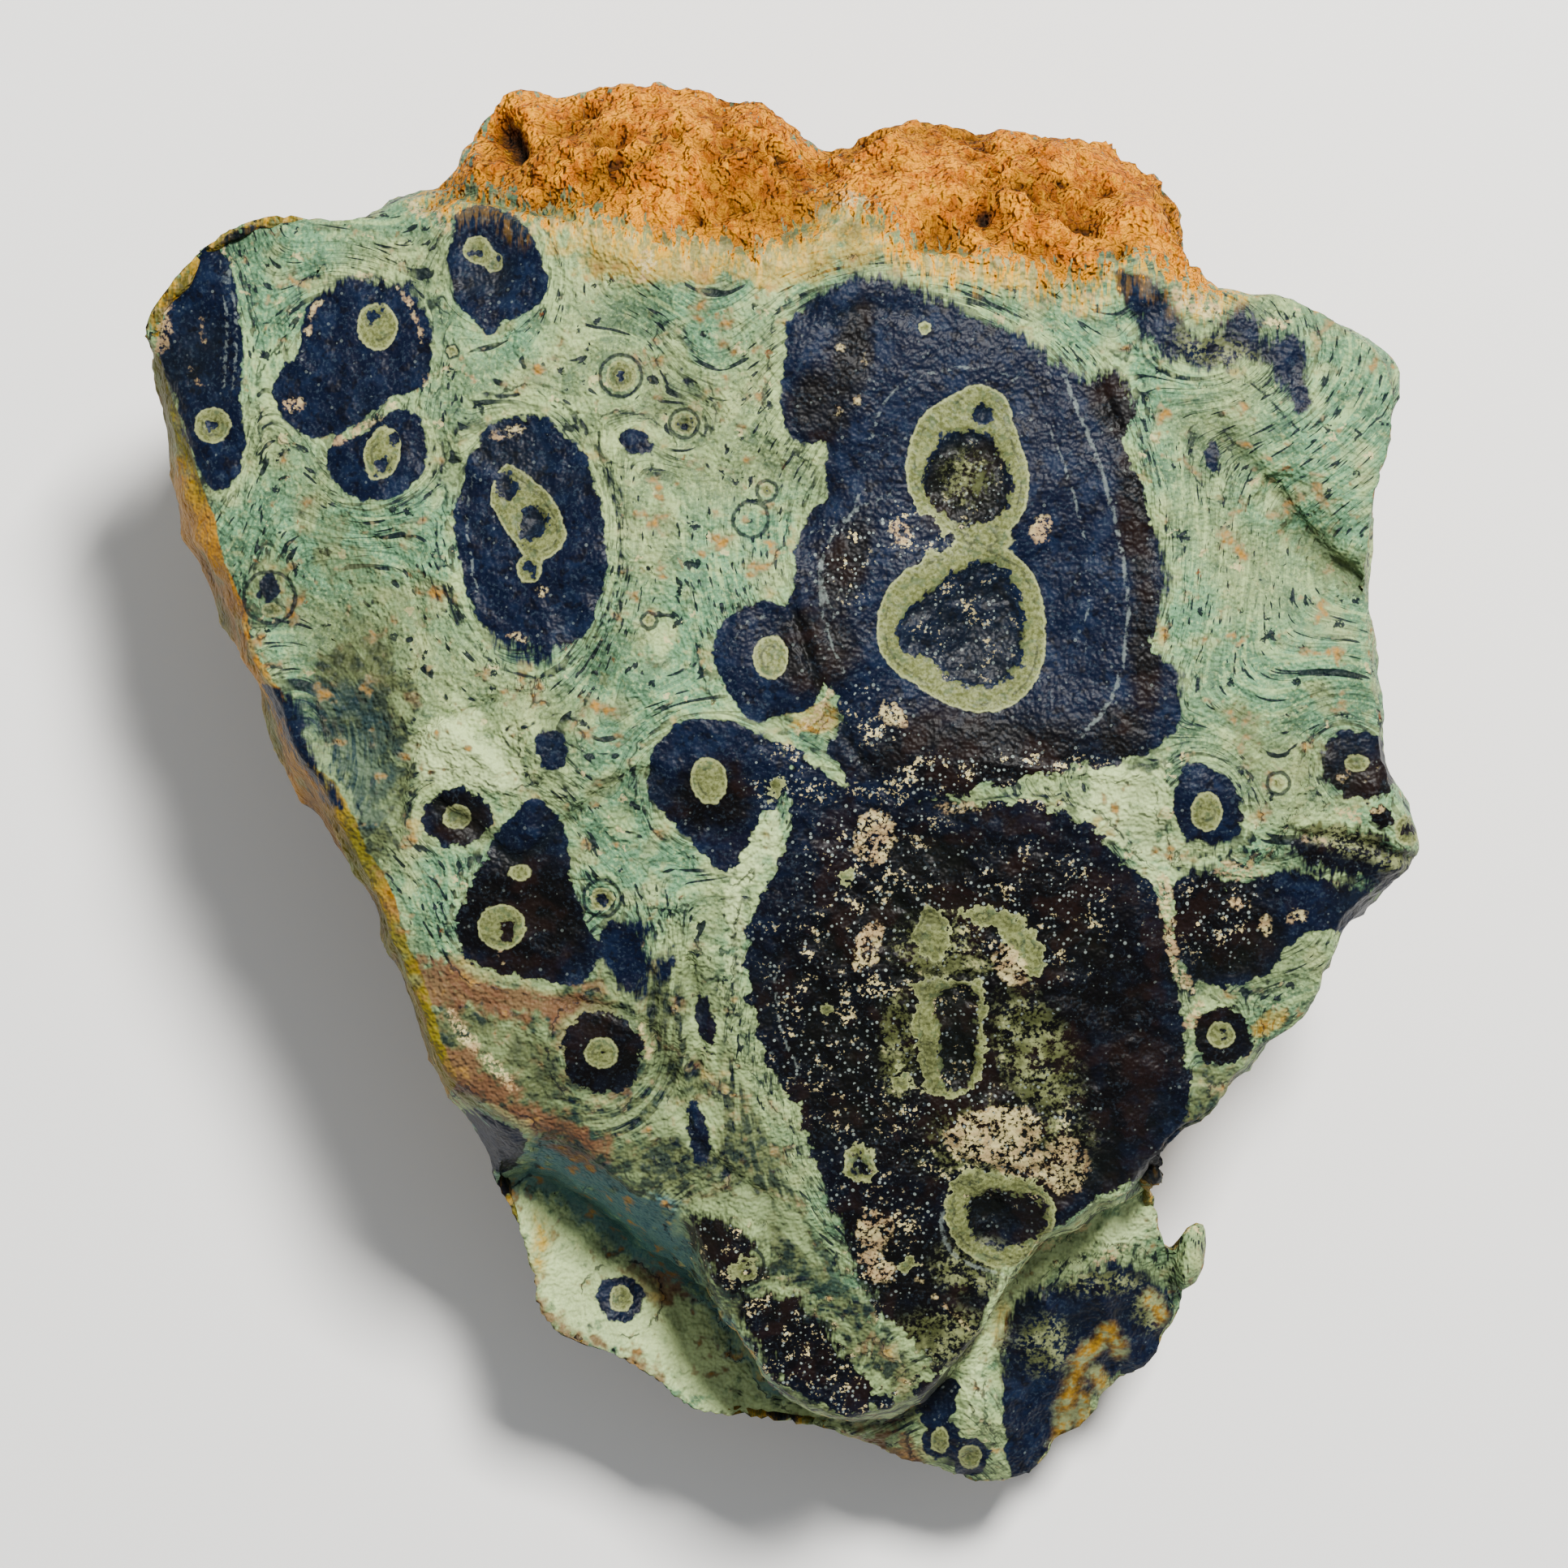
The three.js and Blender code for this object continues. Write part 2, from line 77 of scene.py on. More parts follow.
# Dark bodies of the face: outlines in the photograph's pixels
BODIES = {
    "left_edge": [
        (258, 290), (280, 320), (295, 375), (300, 430), (297, 490), (302, 545), (290, 592), (268, 606),
        (248, 585), (232, 545), (218, 500), (196, 440), (200, 400), (212, 365), (236, 325),
    ],
    "twin_upper": [
        (374, 388), (395, 354), (435, 336), (480, 340), (508, 352), (524, 380), (533, 420), (530, 462),
        (508, 484), (482, 492), (455, 514), (425, 530), (395, 541), (362, 530), (342, 508), (335, 478),
        (347, 450), (364, 438),
    ],
    "twin_lower": [
        (405, 550), (440, 536), (468, 516), (495, 504), (520, 518), (528, 550), (520, 585), (498, 606),
        (460, 618), (425, 608), (404, 580),
    ],
    "top_left": [
        (565, 262), (600, 252), (640, 272), (663, 305), (675, 342), (668, 372), (645, 388), (620, 398),
        (603, 412), (585, 395), (560, 372), (548, 345), (548, 318), (558, 288),
    ],
    "great_upper": [
        (975, 392), (1000, 372), (1020, 350), (1050, 337), (1090, 335), (1120, 345), (1160, 365),
        (1200, 390), (1250, 405), (1330, 460), (1370, 452), (1395, 480), (1400, 520), (1385, 545),
        (1410, 600), (1420, 640), (1442, 700), (1440, 730), (1425, 760), (1420, 800), (1450, 820),
        (1458, 850), (1450, 900), (1410, 930), (1360, 945), (1330, 935), (1300, 955), (1240, 968),
        (1160, 985), (1100, 990), (1040, 960), (1020, 925), (1040, 885), (1022, 850), (1000, 872),
        (955, 888), (930, 888), (900, 860), (880, 815), (882, 785), (897, 760), (930, 738), (965, 745),
        (973, 730), (975, 700), (985, 660), (1000, 625), (1017, 612), (1013, 585), (1021, 560),
        (1016, 545), (1000, 550), (975, 540), (962, 520), (963, 480), (968, 420),
    ],
    "great_lower": [
        (985, 925), (1040, 970), (1100, 985), (1160, 980), (1205, 990), (1270, 992), (1335, 1012),
        (1385, 1062), (1425, 1105), (1440, 1150), (1452, 1215), (1462, 1290), (1470, 1345),
        (1450, 1400), (1425, 1440), (1390, 1458), (1350, 1480), (1320, 1505), (1280, 1525),
        (1245, 1555), (1222, 1600), (1205, 1650), (1178, 1682), (1140, 1670), (1090, 1625),
        (1050, 1560), (1020, 1490), (1000, 1420), (985, 1370), (950, 1320), (930, 1270), (920, 1220),
        (922, 1160), (932, 1110), (960, 1060), (970, 1010), (972, 960),
    ],
    "heart": [
        (795, 960), (805, 920), (840, 890), (880, 885), (920, 895), (950, 915), (978, 940), (975, 968),
        (960, 990), (940, 1002), (925, 1040), (900, 1072), (880, 1068), (855, 1040), (825, 1012),
        (800, 985),
    ],
    "right_orb": [
        (1443, 980), (1460, 945), (1490, 942), (1520, 965), (1532, 1000), (1525, 1030), (1500, 1046),
        (1470, 1042), (1450, 1015),
    ],
    "right_edge": [
        (1625, 940), (1640, 905), (1680, 900), (1703, 910), (1716, 940), (1716, 975), (1690, 985),
        (1650, 978), (1630, 960),
    ],
    "nose": [
        (1598, 1024), (1640, 1012), (1690, 1022), (1716, 1038), (1745, 1050), (1764, 1058),
        (1740, 1086), (1702, 1102), (1650, 1082), (1610, 1070), (1590, 1054),
    ],
    "right_lower": [
        (1440, 1120), (1450, 1090), (1478, 1068), (1530, 1085), (1600, 1068), (1650, 1080),
        (1690, 1098), (1690, 1120), (1660, 1145), (1620, 1150), (1590, 1165), (1570, 1195),
        (1540, 1210), (1500, 1215), (1470, 1205), (1450, 1175),
    ],
    "left_lower": [
        (657, 985), (690, 1005), (700, 1040), (706, 1090), (722, 1140), (740, 1168), (724, 1205),
        (690, 1216), (650, 1205), (600, 1195), (565, 1170), (560, 1140), (575, 1100), (600, 1050),
        (625, 1010),
    ],
    "tongue": [(738, 1152), (762, 1130), (800, 1140), (805, 1190), (790, 1230), (758, 1215)],
    "top_right": [
        (1370, 332), (1400, 333), (1440, 350), (1452, 385), (1480, 408), (1500, 396), (1530, 376),
        (1558, 392), (1562, 420), (1585, 405), (1606, 420), (1613, 460), (1618, 500), (1600, 512),
        (1580, 480), (1555, 452), (1520, 454), (1480, 457), (1440, 442), (1408, 412), (1383, 372),
    ],
    "left_shadow": [
        (322, 845), (352, 850), (378, 890), (396, 940), (428, 1002), (400, 990), (368, 940), (342, 895),
    ],
    "cliff_foot": [(560, 1358), (600, 1372), (645, 1398), (640, 1432), (606, 1444), (580, 1405)],
    "lump": [(842, 1500), (880, 1492), (925, 1520), (945, 1560), (925, 1600), (885, 1592), (858, 1550)],
    "tip": [
        (905, 1612), (960, 1592), (1010, 1622), (1060, 1690), (1100, 1728), (1040, 1742), (990, 1725),
        (945, 1690),
    ],
    "chunk": [
        (1228, 1650), (1240, 1610), (1270, 1586), (1324, 1572), (1365, 1552), (1405, 1560),
        (1436, 1588), (1452, 1615), (1448, 1655), (1425, 1688), (1392, 1706), (1364, 1704),
        (1348, 1735), (1338, 1775), (1310, 1805), (1290, 1836), (1250, 1836), (1240, 1790),
        (1232, 1730), (1234, 1690),
    ],
}

# Rounder dark bodies: centre, half widths and lean in degrees
ROUND_BODIES = [
    (655, 663, 94, 154, -5), (563, 1007, 41, 38, 0), (742, 1297, 50, 52, 0), (1505, 1275, 37, 38, 0),
    (680, 925, 20, 30, -15), (782, 545, 26, 15, 20), (845, 465, 6, 19, -20), (1494, 562, 9, 19, -10),
    (1155, 1722, 27, 36, 0), (262, 524, 38, 42, 0), (765, 1600, 30, 30, 0), (330, 725, 12, 21, 8),
    (1160, 1772, 24, 26, 0), (1195, 1795, 24, 24, 0), (860, 1400, 14, 40, -10), (820, 1190, 12, 30, 15),
    (870, 1260, 12, 36, -12), (760, 1145, 10, 12, 0), (1703, 1008, 16, 16, 0),
]

# Ring orbs with no dark body: one thin dark line round the eye, of a radius
THIN_RINGS = [
    (765, 463, 28), (742, 1107, 25), (843, 522, 20), (557, 433, 10), (945, 605, 15), (925, 640, 24),
    (800, 765, 12), (1575, 965, 16), (1290, 1660, 34), (918, 1560, 26), (332, 736, 34),
]

# Olive eyes: centre, half widths and lean
EYES = [
    (262, 524, 23, 23, 0), (465, 402, 25, 30, -10), (471, 559, 23, 34, 15), (588, 308, 18, 18, 0),
    (608, 324, 13, 13, 0), (765, 463, 20, 20, 0), (843, 522, 15, 14, 0), (950, 810, 22, 28, 0),
    (873, 962, 23, 30, -8), (955, 970, 11, 16, 0), (1487, 1000, 20, 25, 0), (1735, 1022, 17, 20, 0),
    (1505, 1275, 18, 17, 0), (563, 1007, 18, 16, 0), (618, 1142, 30, 29, 0), (640, 1075, 15, 11, 0),
    (742, 1107, 15, 15, 0), (741, 1297, 22, 20, 0), (1195, 1795, 15, 15, 0), (1158, 1775, 12, 17, 0),
    (765, 1600, 15, 17, 0), (652, 700, 16, 19, 0), (945, 605, 9, 9, 0), (800, 765, 8, 8, 0),
    (1137, 1268, 7, 25, 0), (1115, 1325, 12, 14, 0), (1042, 1080, 8, 8, 0), (1017, 1240, 8, 9, 0),
    (1118, 1560, 9, 9, 0), (1140, 405, 9, 9, 0), (1060, 1435, 21, 23, 20), (1575, 965, 8, 8, 0),
    (918, 1560, 16, 14, 0), (1672, 940, 16, 12, 0), (334, 752, 15, 10, 0), (1212, 663, 38, 20, 0),
    (557, 433, 8, 8, 0), (1150, 1150, 24, 30, 0),
]
EYE_OUTLINES = {
    "upper_eye": [
        (1212, 474), (1240, 490), (1252, 530), (1268, 580), (1265, 620), (1250, 650), (1218, 662),
        (1180, 660), (1140, 635), (1118, 600), (1118, 560), (1130, 522), (1150, 500), (1190, 478),
    ],
    "lower_eye": [
        (1150, 682), (1200, 665), (1245, 680), (1275, 710), (1288, 760), (1285, 820), (1260, 860),
        (1220, 878), (1170, 870), (1130, 845), (1095, 820), (1080, 780), (1090, 730), (1120, 700),
    ],
    "ellipse_eye": [
        (620, 572), (650, 585), (682, 615), (697, 650), (692, 674), (668, 690), (645, 682),
        (620, 650), (604, 612),
    ],
    "horseshoe_eye": [
        (1130, 1215), (1165, 1205), (1212, 1215), (1216, 1280), (1205, 1335), (1165, 1358),
        (1140, 1340), (1128, 1280),
    ],
    "crescent_eye": [
        (1180, 1125), (1225, 1115), (1265, 1135), (1287, 1170), (1285, 1200), (1262, 1200),
        (1245, 1165), (1215, 1142),
    ],
    "bottom_eye": [
        (1172, 1462), (1210, 1445), (1262, 1450), (1300, 1480), (1290, 1530), (1245, 1562),
        (1200, 1552), (1168, 1515),
    ],
}

# Dark cores inside the eyes: centre, half widths and lean
CORES = [
    (262, 524, 6, 6, 0), (463, 369, 7, 7, 0), (473, 467, 5, 5, 0), (588, 308, 7, 7, 0),
    (610, 322, 4, 4, 0), (765, 463, 5, 5, 0), (843, 524, 8, 8, 0), (622, 600, 12, 19, -20),
    (655, 645, 17, 22, 10), (652, 700, 7, 9, 0), (1210, 510, 14, 14, 0), (471, 574, 9, 11, 0),
    (486, 540, 7, 7, 0), (742, 1107, 6, 6, 0), (1505, 1275, 5, 5, 0), (1735, 1020, 8, 8, 0),
    (625, 1147, 12, 13, 0), (741, 1297, 5, 5, 0), (1060, 1435, 10, 12, 0), (563, 1007, 5, 5, 0),
    (1195, 1795, 5, 5, 0), (918, 1560, 6, 6, 0), (945, 605, 3, 3, 0), (458, 392, 5, 9, 30),
]
CORE_OUTLINES = {
    "upper_core": [
        (1150, 560), (1175, 530), (1215, 535), (1240, 570), (1245, 615), (1225, 640), (1185, 645),
        (1148, 622), (1136, 590),
    ],
    "lower_core": [
        (1180, 702), (1225, 692), (1250, 720), (1262, 770), (1258, 815), (1225, 845), (1180, 842),
        (1150, 815), (1108, 795), (1110, 760), (1140, 730),
    ],
    "horseshoe_core": [(1158, 1222), (1200, 1220), (1204, 1290), (1190, 1340), (1162, 1335), (1154, 1270)],
    "bottom_core": [
        (1196, 1478), (1240, 1466), (1282, 1482), (1288, 1512), (1262, 1535), (1215, 1535), (1192, 1510),
    ],
}

# Cream lines and patches: half width in pixels and the points of the line
CREAM_LINES = [
    (4, [(410, 545), (440, 532), (465, 512), (487, 495)]), (3, [(395, 370), (382, 390), (380, 412)]),
    (6, [(985, 898), (1005, 880), (1020, 856)]), (5, [(780, 1262), (800, 1278), (800, 1300)]),
    (7, [(1432, 1085), (1440, 1130), (1444, 1170), (1456, 1205), (1478, 1235), (1466, 1262)]),
    (3, [(1130, 1572), (1160, 1605), (1200, 1642)]), (4, [(1338, 1512), (1310, 1528), (1280, 1536)]),
    (8, [(556, 1252), (585, 1290), (632, 1338)]), (3, [(322, 752), (338, 762)]),
    (2, [(1688, 1002), (1716, 988)]), (2, [(1672, 966), (1698, 946)]), (1.5, [(1600, 1030), (1650, 1040)]),
    (2, [(440, 338), (489, 352), (514, 396), (520, 425)]), (2, [(585, 470), (552, 452), (520, 470)]),
    (3, [(248, 395), (250, 420)]), (3, [(236, 455), (246, 475)]), (6, [(612, 537), (640, 530)]),
    (4, [(628, 782), (645, 790)]), (2, [(620, 1170), (615, 1185)]),
]
CREAM_SPOTS = [
    (201, 408, 10, 30, 10), (1078, 1030, 26, 36, 10), (1070, 1165, 16, 36, 20), (1225, 1398, 64, 34, -10),
    (1312, 1436, 30, 38, 0), (1080, 1560, 26, 16, 40), (1245, 1190, 18, 26, -30), (1078, 1515, 24, 24, 20),
    (1480, 375, 34, 14, 20), (1575, 398, 15, 8, 0), (1070, 443, 7, 7, 0), (1035, 427, 4, 4, 0),
    (1033, 506, 4, 7, 20), (1055, 494, 3, 4, 0), (1662, 1004, 17, 9, 10), (1522, 1074, 28, 10, 5),
    (1100, 880, 20, 12, 40), (1655, 956, 12, 6, -20), (1530, 1112, 12, 9, 0), (1558, 1142, 10, 12, 0),
    (1597, 1130, 12, 9, 0),
    (1045, 245, 26, 10, 0), (528, 262, 26, 10, 30), (795, 325, 16, 22, 0), (360, 498, 14, 12, 0),
    (1110, 655, 14, 14, 0), (1284, 652, 14, 16, 0), (1180, 995, 26, 7, 0), (1008, 888, 16, 12, 0),
    (1370, 1545, 22, 9, -20), (1260, 1430, 40, 22, 0), (665, 727, 8, 8, 0), (1440, 1000, 5, 12, 0),
]

# Gold stains over the set-back chunk and the pale ledge
GOLD_LINES = [
    (9, [(1362, 1642), (1332, 1680), (1318, 1715), (1310, 1765), (1298, 1800)]),
    (8, [(1368, 1640), (1376, 1662)]), (7, [(1336, 1724), (1334, 1760), (1316, 1782)]),
    (6, [(1415, 1600), (1432, 1622)]), (6, [(1236, 1612), (1228, 1640)]),
    (8, [(662, 1500), (668, 1530), (662, 1560)]), (6, [(1350, 1690), (1362, 1712)]),
]

# Faint pale arcs in the dark bodies
FAINT_ARCS = [
    (2, [(1075, 540), (1085, 505), (1110, 475), (1160, 457), (1210, 453), (1262, 468)]),
    (3, [(1310, 462), (1350, 560), (1376, 650), (1390, 740), (1386, 800), (1370, 860), (1332, 908)]),
    (2, [(1030, 770), (1012, 700), (1040, 640), (1100, 608)]), (2, [(283, 330), (291, 400), (288, 480)]),
    (2, [(272, 320), (279, 400), (275, 480)]), (2, [(1060, 600), (1046, 640), (1000, 655)]),
    (2, [(900, 800), (915, 770), (950, 758)]), (2, [(1010, 690), (1014, 760), (1040, 830)]),
    (2, [(1290, 520), (1320, 600), (1340, 700), (1336, 800)]), (2, [(955, 1190), (960, 1260), (985, 1320)]),
    (3, [(1170, 1470), (1160, 1510), (1180, 1550), (1236, 1572)]), (2, [(590, 560), (575, 640), (590, 740)]),
]

# Thin dark lines in the green round an orb
DARK_LINES = [
    (2.4, [(640, 486), (588, 500), (552, 552), (538, 620), (542, 700), (566, 770), (610, 818), (660, 836)]),
    (1.6, [(620, 478), (570, 498), (536, 550), (522, 620), (528, 700), (552, 776)]),
    (2.2, [(690, 500), (732, 548), (758, 620), (764, 690), (748, 752), (716, 806), (676, 834)]),
    (1.6, [(712, 512), (752, 572), (774, 650), (768, 730), (740, 790)]),
    (1.8, [(890, 1120), (905, 1180), (902, 1240), (925, 1300)]),
    (1.6, [(915, 1100), (906, 1150), (912, 1210)]), (1.8, [(1420, 1300), (1440, 1340), (1430, 1390)]),
    (2, [(1200, 985), (1280, 980), (1350, 1000), (1392, 1040)]),
    (1.8, [(640, 900), (690, 880), (730, 900), (730, 930)]), (1.8, [(650, 880), (620, 905), (640, 930)]),
    (1.6, [(1420, 560), (1436, 630), (1452, 690)]), (1.6, [(1480, 430), (1540, 470), (1600, 530)]),
]

# The weathered rind's outline
ORANGE = [
    (540, 238), (572, 180), (600, 130), (622, 108), (655, 100), (700, 110), (740, 92), (800, 90),
    (845, 88), (895, 104), (935, 104), (1003, 162), (1020, 170), (1064, 142), (1130, 124),
    (1200, 138), (1300, 150), (1355, 160), (1425, 196), (1456, 226), (1478, 300), (1500, 352),
    (1455, 348), (1418, 322), (1388, 316), (1340, 342), (1290, 338), (1240, 322), (1180, 315),
    (1115, 300), (1075, 268), (1030, 250), (985, 280), (930, 306), (870, 296), (830, 296),
    (780, 282), (740, 268), (700, 250), (655, 262), (610, 238), (580, 236),
]

# Stained and paler places, and places of painted shade and painted light, as outlines with soft edges
RUST_ZONES = [
    [(478, 1182), (560, 1192), (620, 1215), (700, 1224), (762, 1240), (722, 1262), (640, 1252), (500, 1232)],
    [(500, 1290), (560, 1288), (610, 1330), (680, 1376), (750, 1408), (735, 1430), (690, 1412),
     (600, 1372), (540, 1345)],
    [(640, 1575), (665, 1590), (700, 1630), (760, 1664), (822, 1700), (808, 1722), (700, 1680), (650, 1640)],
    [(1050, 1772), (1085, 1765), (1140, 1790), (1120, 1815), (1060, 1795)],
    [(690, 1280), (720, 1262), (740, 1275), (722, 1310), (702, 1320)],
    [(762, 1560), (800, 1570), (850, 1592), (820, 1600), (780, 1585)],
    [(1636, 925), (1680, 915), (1700, 940), (1680, 965), (1645, 960)],
]
# Painted shade: the blue-green shade of the cliff wall under the face's lower-left edge
PAINTED_SHADE_TEAL_ZONES = [
    [(575, 1350), (640, 1388), (700, 1408), (765, 1458), (848, 1506), (872, 1600), (820, 1580), (780, 1552),
     (735, 1515), (690, 1480), (640, 1455), (606, 1460)],
    [(870, 1600), (905, 1635), (935, 1680), (960, 1715), (945, 1712), (905, 1660)],
]
# Painted shade: a dark teal patch on the left facet, which faces away from the light
SHADY_ZONES = [
    [(345, 845), (400, 850), (440, 845), (475, 880), (488, 940), (480, 1000), (446, 1024), (404, 985),
     (370, 930)],
]
# Olive-brown stains; the left facet's two patches, the wedge under the right-hand ridge and the streak below
# it are painted shade
OLIVE_ZONES = [
    [(388, 650), (420, 640), (455, 690), (500, 736), (510, 760), (470, 748), (430, 732), (395, 700)],
    [(424, 765), (455, 758), (480, 790), (500, 845), (440, 850), (404, 830)],
    [(1580, 640), (1640, 655), (1690, 730), (1650, 730), (1600, 690)],
    [(1510, 880), (1540, 885), (1560, 925), (1555, 945), (1535, 920)],
    [(520, 1240), (620, 1265), (690, 1290), (690, 1370), (620, 1360), (560, 1310)],
    [(1440, 1300), (1500, 1320), (1520, 1330), (1480, 1370), (1445, 1390)],
]
# Paler green; the first three, the lit facet at the left, the lit ledge and the top of the set-back chunk,
# are painted light
PALE_ZONES = [
    [(512, 900), (560, 878), (620, 898), (640, 950), (600, 978), (540, 968)],
    [(615, 1462), (650, 1456), (700, 1482), (785, 1558), (865, 1608), (925, 1675), (955, 1722), (1000, 1745),
     (1060, 1782), (1000, 1770), (900, 1762), (812, 1715), (700, 1645), (655, 1595), (636, 1520)],
    [(1180, 1690), (1200, 1662), (1228, 1612), (1262, 1555), (1300, 1525), (1350, 1500), (1400, 1478),
     (1420, 1500), (1400, 1530), (1340, 1545), (1290, 1560), (1245, 1620), (1215, 1680), (1200, 1740)],
    [(1400, 945), (1440, 950), (1440, 1060), (1425, 1088), (1390, 1048), (1330, 1000), (1340, 955)],
    [(890, 1020), (960, 1000), (950, 1060), (918, 1110), (910, 1200), (890, 1180), (900, 1100)],
]
# Darker muddled places of fibre, olive, rust and sage; on the left facet they are also painted shade
MURKY_ZONES = [
    [(600, 1185), (720, 1215), (830, 1190), (880, 1250), (905, 1340), (960, 1440), (990, 1520), (1050, 1600),
     (1110, 1680), (1180, 1700), (1150, 1735), (1010, 1745), (910, 1640), (845, 1570), (760, 1475),
     (660, 1405), (560, 1335), (520, 1245)],
    [(400, 816), (460, 800), (500, 850), (505, 900), (490, 1010), (450, 1060), (430, 1000), (405, 900)],
    [(1440, 1330), (1500, 1320), (1530, 1335), (1470, 1390), (1440, 1420)],
]
ZONES = {
    "rust": RUST_ZONES, "painted_shade_teal": PAINTED_SHADE_TEAL_ZONES, "olive": OLIVE_ZONES, "pale": PALE_ZONES,
    "murky": MURKY_ZONES, "shady": SHADY_ZONES,
}

# Yellow tinges: centre, half widths and lean
YELLOW_SPOTS = [
    (830, 302, 150, 46, 0), (1045, 285, 60, 48, 0), (1240, 330, 120, 22, 5), (960, 318, 90, 36, 0),
    (1000, 885, 34, 20, 0), (1340, 1690, 62, 26, -30), (1325, 1745, 26, 34, 0), (1560, 1262, 26, 14, -30),
]

# The stained wall that shows along the face's left edge
SIDE_STRIP = [
    (196, 440), (206, 470), (220, 510), (233, 545), (243, 580), (256, 615), (268, 650), (276, 690),
    (292, 725), (304, 760), (312, 800), (332, 830), (354, 865), (364, 900), (382, 935), (412, 963),
    (428, 990), (448, 1035), (468, 1070), (486, 1105), (496, 1145), (514, 1185), (530, 1230),
    (544, 1275), (554, 1310), (562, 1340), (530, 1345), (480, 1240), (440, 1130), (360, 1000),
    (300, 870), (200, 660), (160, 430),
]

# Where the specks of pale mineral lie thickest: centre, half widths and lean
SPECKLED = [
    (1080, 1070, 110, 110, 0), (1100, 1240, 180, 200, 0), (1220, 1400, 130, 90, 0), (1080, 1520, 90, 90, 0),
    (1190, 600, 50, 60, 0), (1190, 770, 75, 80, 0), (1280, 1120, 140, 90, 0), (1500, 1130, 60, 60, 0),
    (1120, 650, 60, 40, 0), (1240, 960, 200, 40, 0), (1075, 880, 50, 40, 30), (1040, 690, 40, 60, 0),
    (900, 1560, 90, 90, 0), (1030, 1680, 130, 90, 0), (980, 950, 60, 60, 0),
]

# Where a body's edge melts into the green in streaks
FUZZY = [
    (1110, 345, 130, 44, 5), (1300, 425, 110, 40, 35), (1490, 410, 130, 76, 25), (1345, 1640, 130, 120, 0),
    (470, 345, 90, 36, 0), (640, 815, 60, 44, 0), (1600, 960, 40, 60, 0), (1450, 700, 26, 160, 0),
    (1660, 1060, 110, 44, 15), (1180, 1180, 90, 80, 0), (960, 1580, 140, 120, 0), (790, 1180, 40, 60, 0),
    (1230, 1540, 60, 60, 0), (1495, 1060, 70, 26, 0), (385, 925, 44, 90, -25),
]

# Where olive grains cloud the great lower body
MISTS = [
    (1275, 1300, 46, 86, -25), (1150, 1165, 50, 40, 0), (1240, 1410, 100, 50, 0), (1180, 1190, 50, 16, 0),
    (1105, 1290, 22, 70, 0), (1200, 1560, 50, 34, 0), (1170, 1650, 70, 36, 0), (1190, 590, 34, 34, 0),
    (1650, 1030, 56, 20, 20), (1720, 1060, 30, 16, 0), (1288, 1657, 34, 38, 0), (1415, 1615, 20, 26, 0),
    (1350, 1580, 60, 16, 0), (1500, 430, 60, 24, 20),
]

# Where the dark bodies turn from navy to brownish black
WARM = [
    (1190, 1260, 330, 330, 0), (740, 1297, 80, 80, 0), (640, 1130, 110, 90, 0), (1500, 1140, 90, 90, 0),
    (1650, 1000, 130, 90, 0), (900, 1560, 110, 110, 0), (1060, 1600, 200, 160, 0), (1200, 930, 180, 60, 0),
    (1505, 1275, 60, 60, 0), (1190, 600, 62, 66, 0), (880, 985, 60, 50, 0), (563, 1007, 45, 40, 0),
    (1376, 505, 32, 56, -25), (1398, 640, 22, 100, -8), (1412, 790, 22, 90, 0), (1380, 905, 40, 40, 0),
    (1040, 700, 30, 76, 20), (1050, 440, 26, 80, 10), (1010, 500, 40, 50, 0), (1000, 800, 60, 60, 0),
]

# Crevices and ridges of the face: half width in pixels, rise in millimetres and line
CREVICES = [
    (7, -0.7, [(1510, 540), (1570, 600), (1620, 670), (1680, 722)]),
    (6, -0.6, [(540, 990), (600, 1035), (640, 1060), (700, 1010), (760, 965), (800, 950)]),
    (5, -0.5, [(975, 745), (1010, 850), (1040, 905), (1100, 985)]),
    (5, -0.5, [(850, 1180), (865, 1280), (850, 1380)]),
    (6, -0.6, [(800, 1200), (820, 1320), (870, 1420), (950, 1480)]),
    (4, 0.5, [(820, 1180), (840, 1290), (860, 1400)]), (5, 0.5, [(1220, 940), (1300, 950), (1400, 955)]),
    (4, -0.5, [(1100, 1205), (1220, 1200)]),
    (5, -0.6, [(610, 860), (560, 880), (520, 900), (495, 960), (490, 1030)]),
    (7, 0.6, [(545, 890), (610, 950)]), (5, -0.4, [(420, 640), (500, 700), (520, 800), (480, 850)]),
    (6, -0.6, [(690, 1230), (790, 1260), (830, 1330)]),
    (5, -0.5, [(1140, 1370), (1200, 1440), (1290, 1440)]),
    (5, -0.5, [(1020, 400), (1060, 380), (1130, 390)]), (14, -2.4, [(618, 156), (634, 178)]),
    (8, -0.8, [(560, 232), (620, 245), (700, 262)]), (6, -0.7, [(1600, 1030), (1660, 1035), (1740, 1060)]),
    (5, -0.5, [(1610, 930), (1600, 1000), (1560, 1060)]),
    (4, -0.4, [(1350, 460), (1390, 560), (1430, 700)]),
]

# Layers of the broken surface: strength in millimetres, size in millimetres and seed
FACE_WAVES = [(0.5, 13.0, 15), (0.2, 4.2, 1), (0.16, 2.2, 2), (0.1, 1.2, 3)]
FACE_CHIPS = [(0.5, 8.0, 4), (0.26, 3.6, 12)]
SIDE_CHIPS = [(1.7, 14.0, 13), (0.7, 6.0, 14)]
RIND_CHIPS = [(1.3, 5.0, 5), (0.75, 2.5, 17)]
BODY_WAVES = [(0.26, 1.6, 10), (0.16, 0.9, 11)]

# The fine mesh, in metres where nothing else is said
WELD = 2e-6  # corners this near are one
HALVINGS = 7
SIDE_EDGE = 0.0015  # longest edge of the side walls
BACK_EDGE = 0.0026  # longest edge of the back
RIND_FROM = 0.044  # beyond this the side walls are rind, as fine as the face
FACE_UP = 0.12  # a normal's rise, above which it belongs to the face
BACK_UP = -0.5  # and below which it belongs to the back
SMOOTH_ROUNDS = 16
SPIKE_ROUNDS = 8
SPIKE_MM = 0.46  # a corner stands out by no more than this from its neighbours

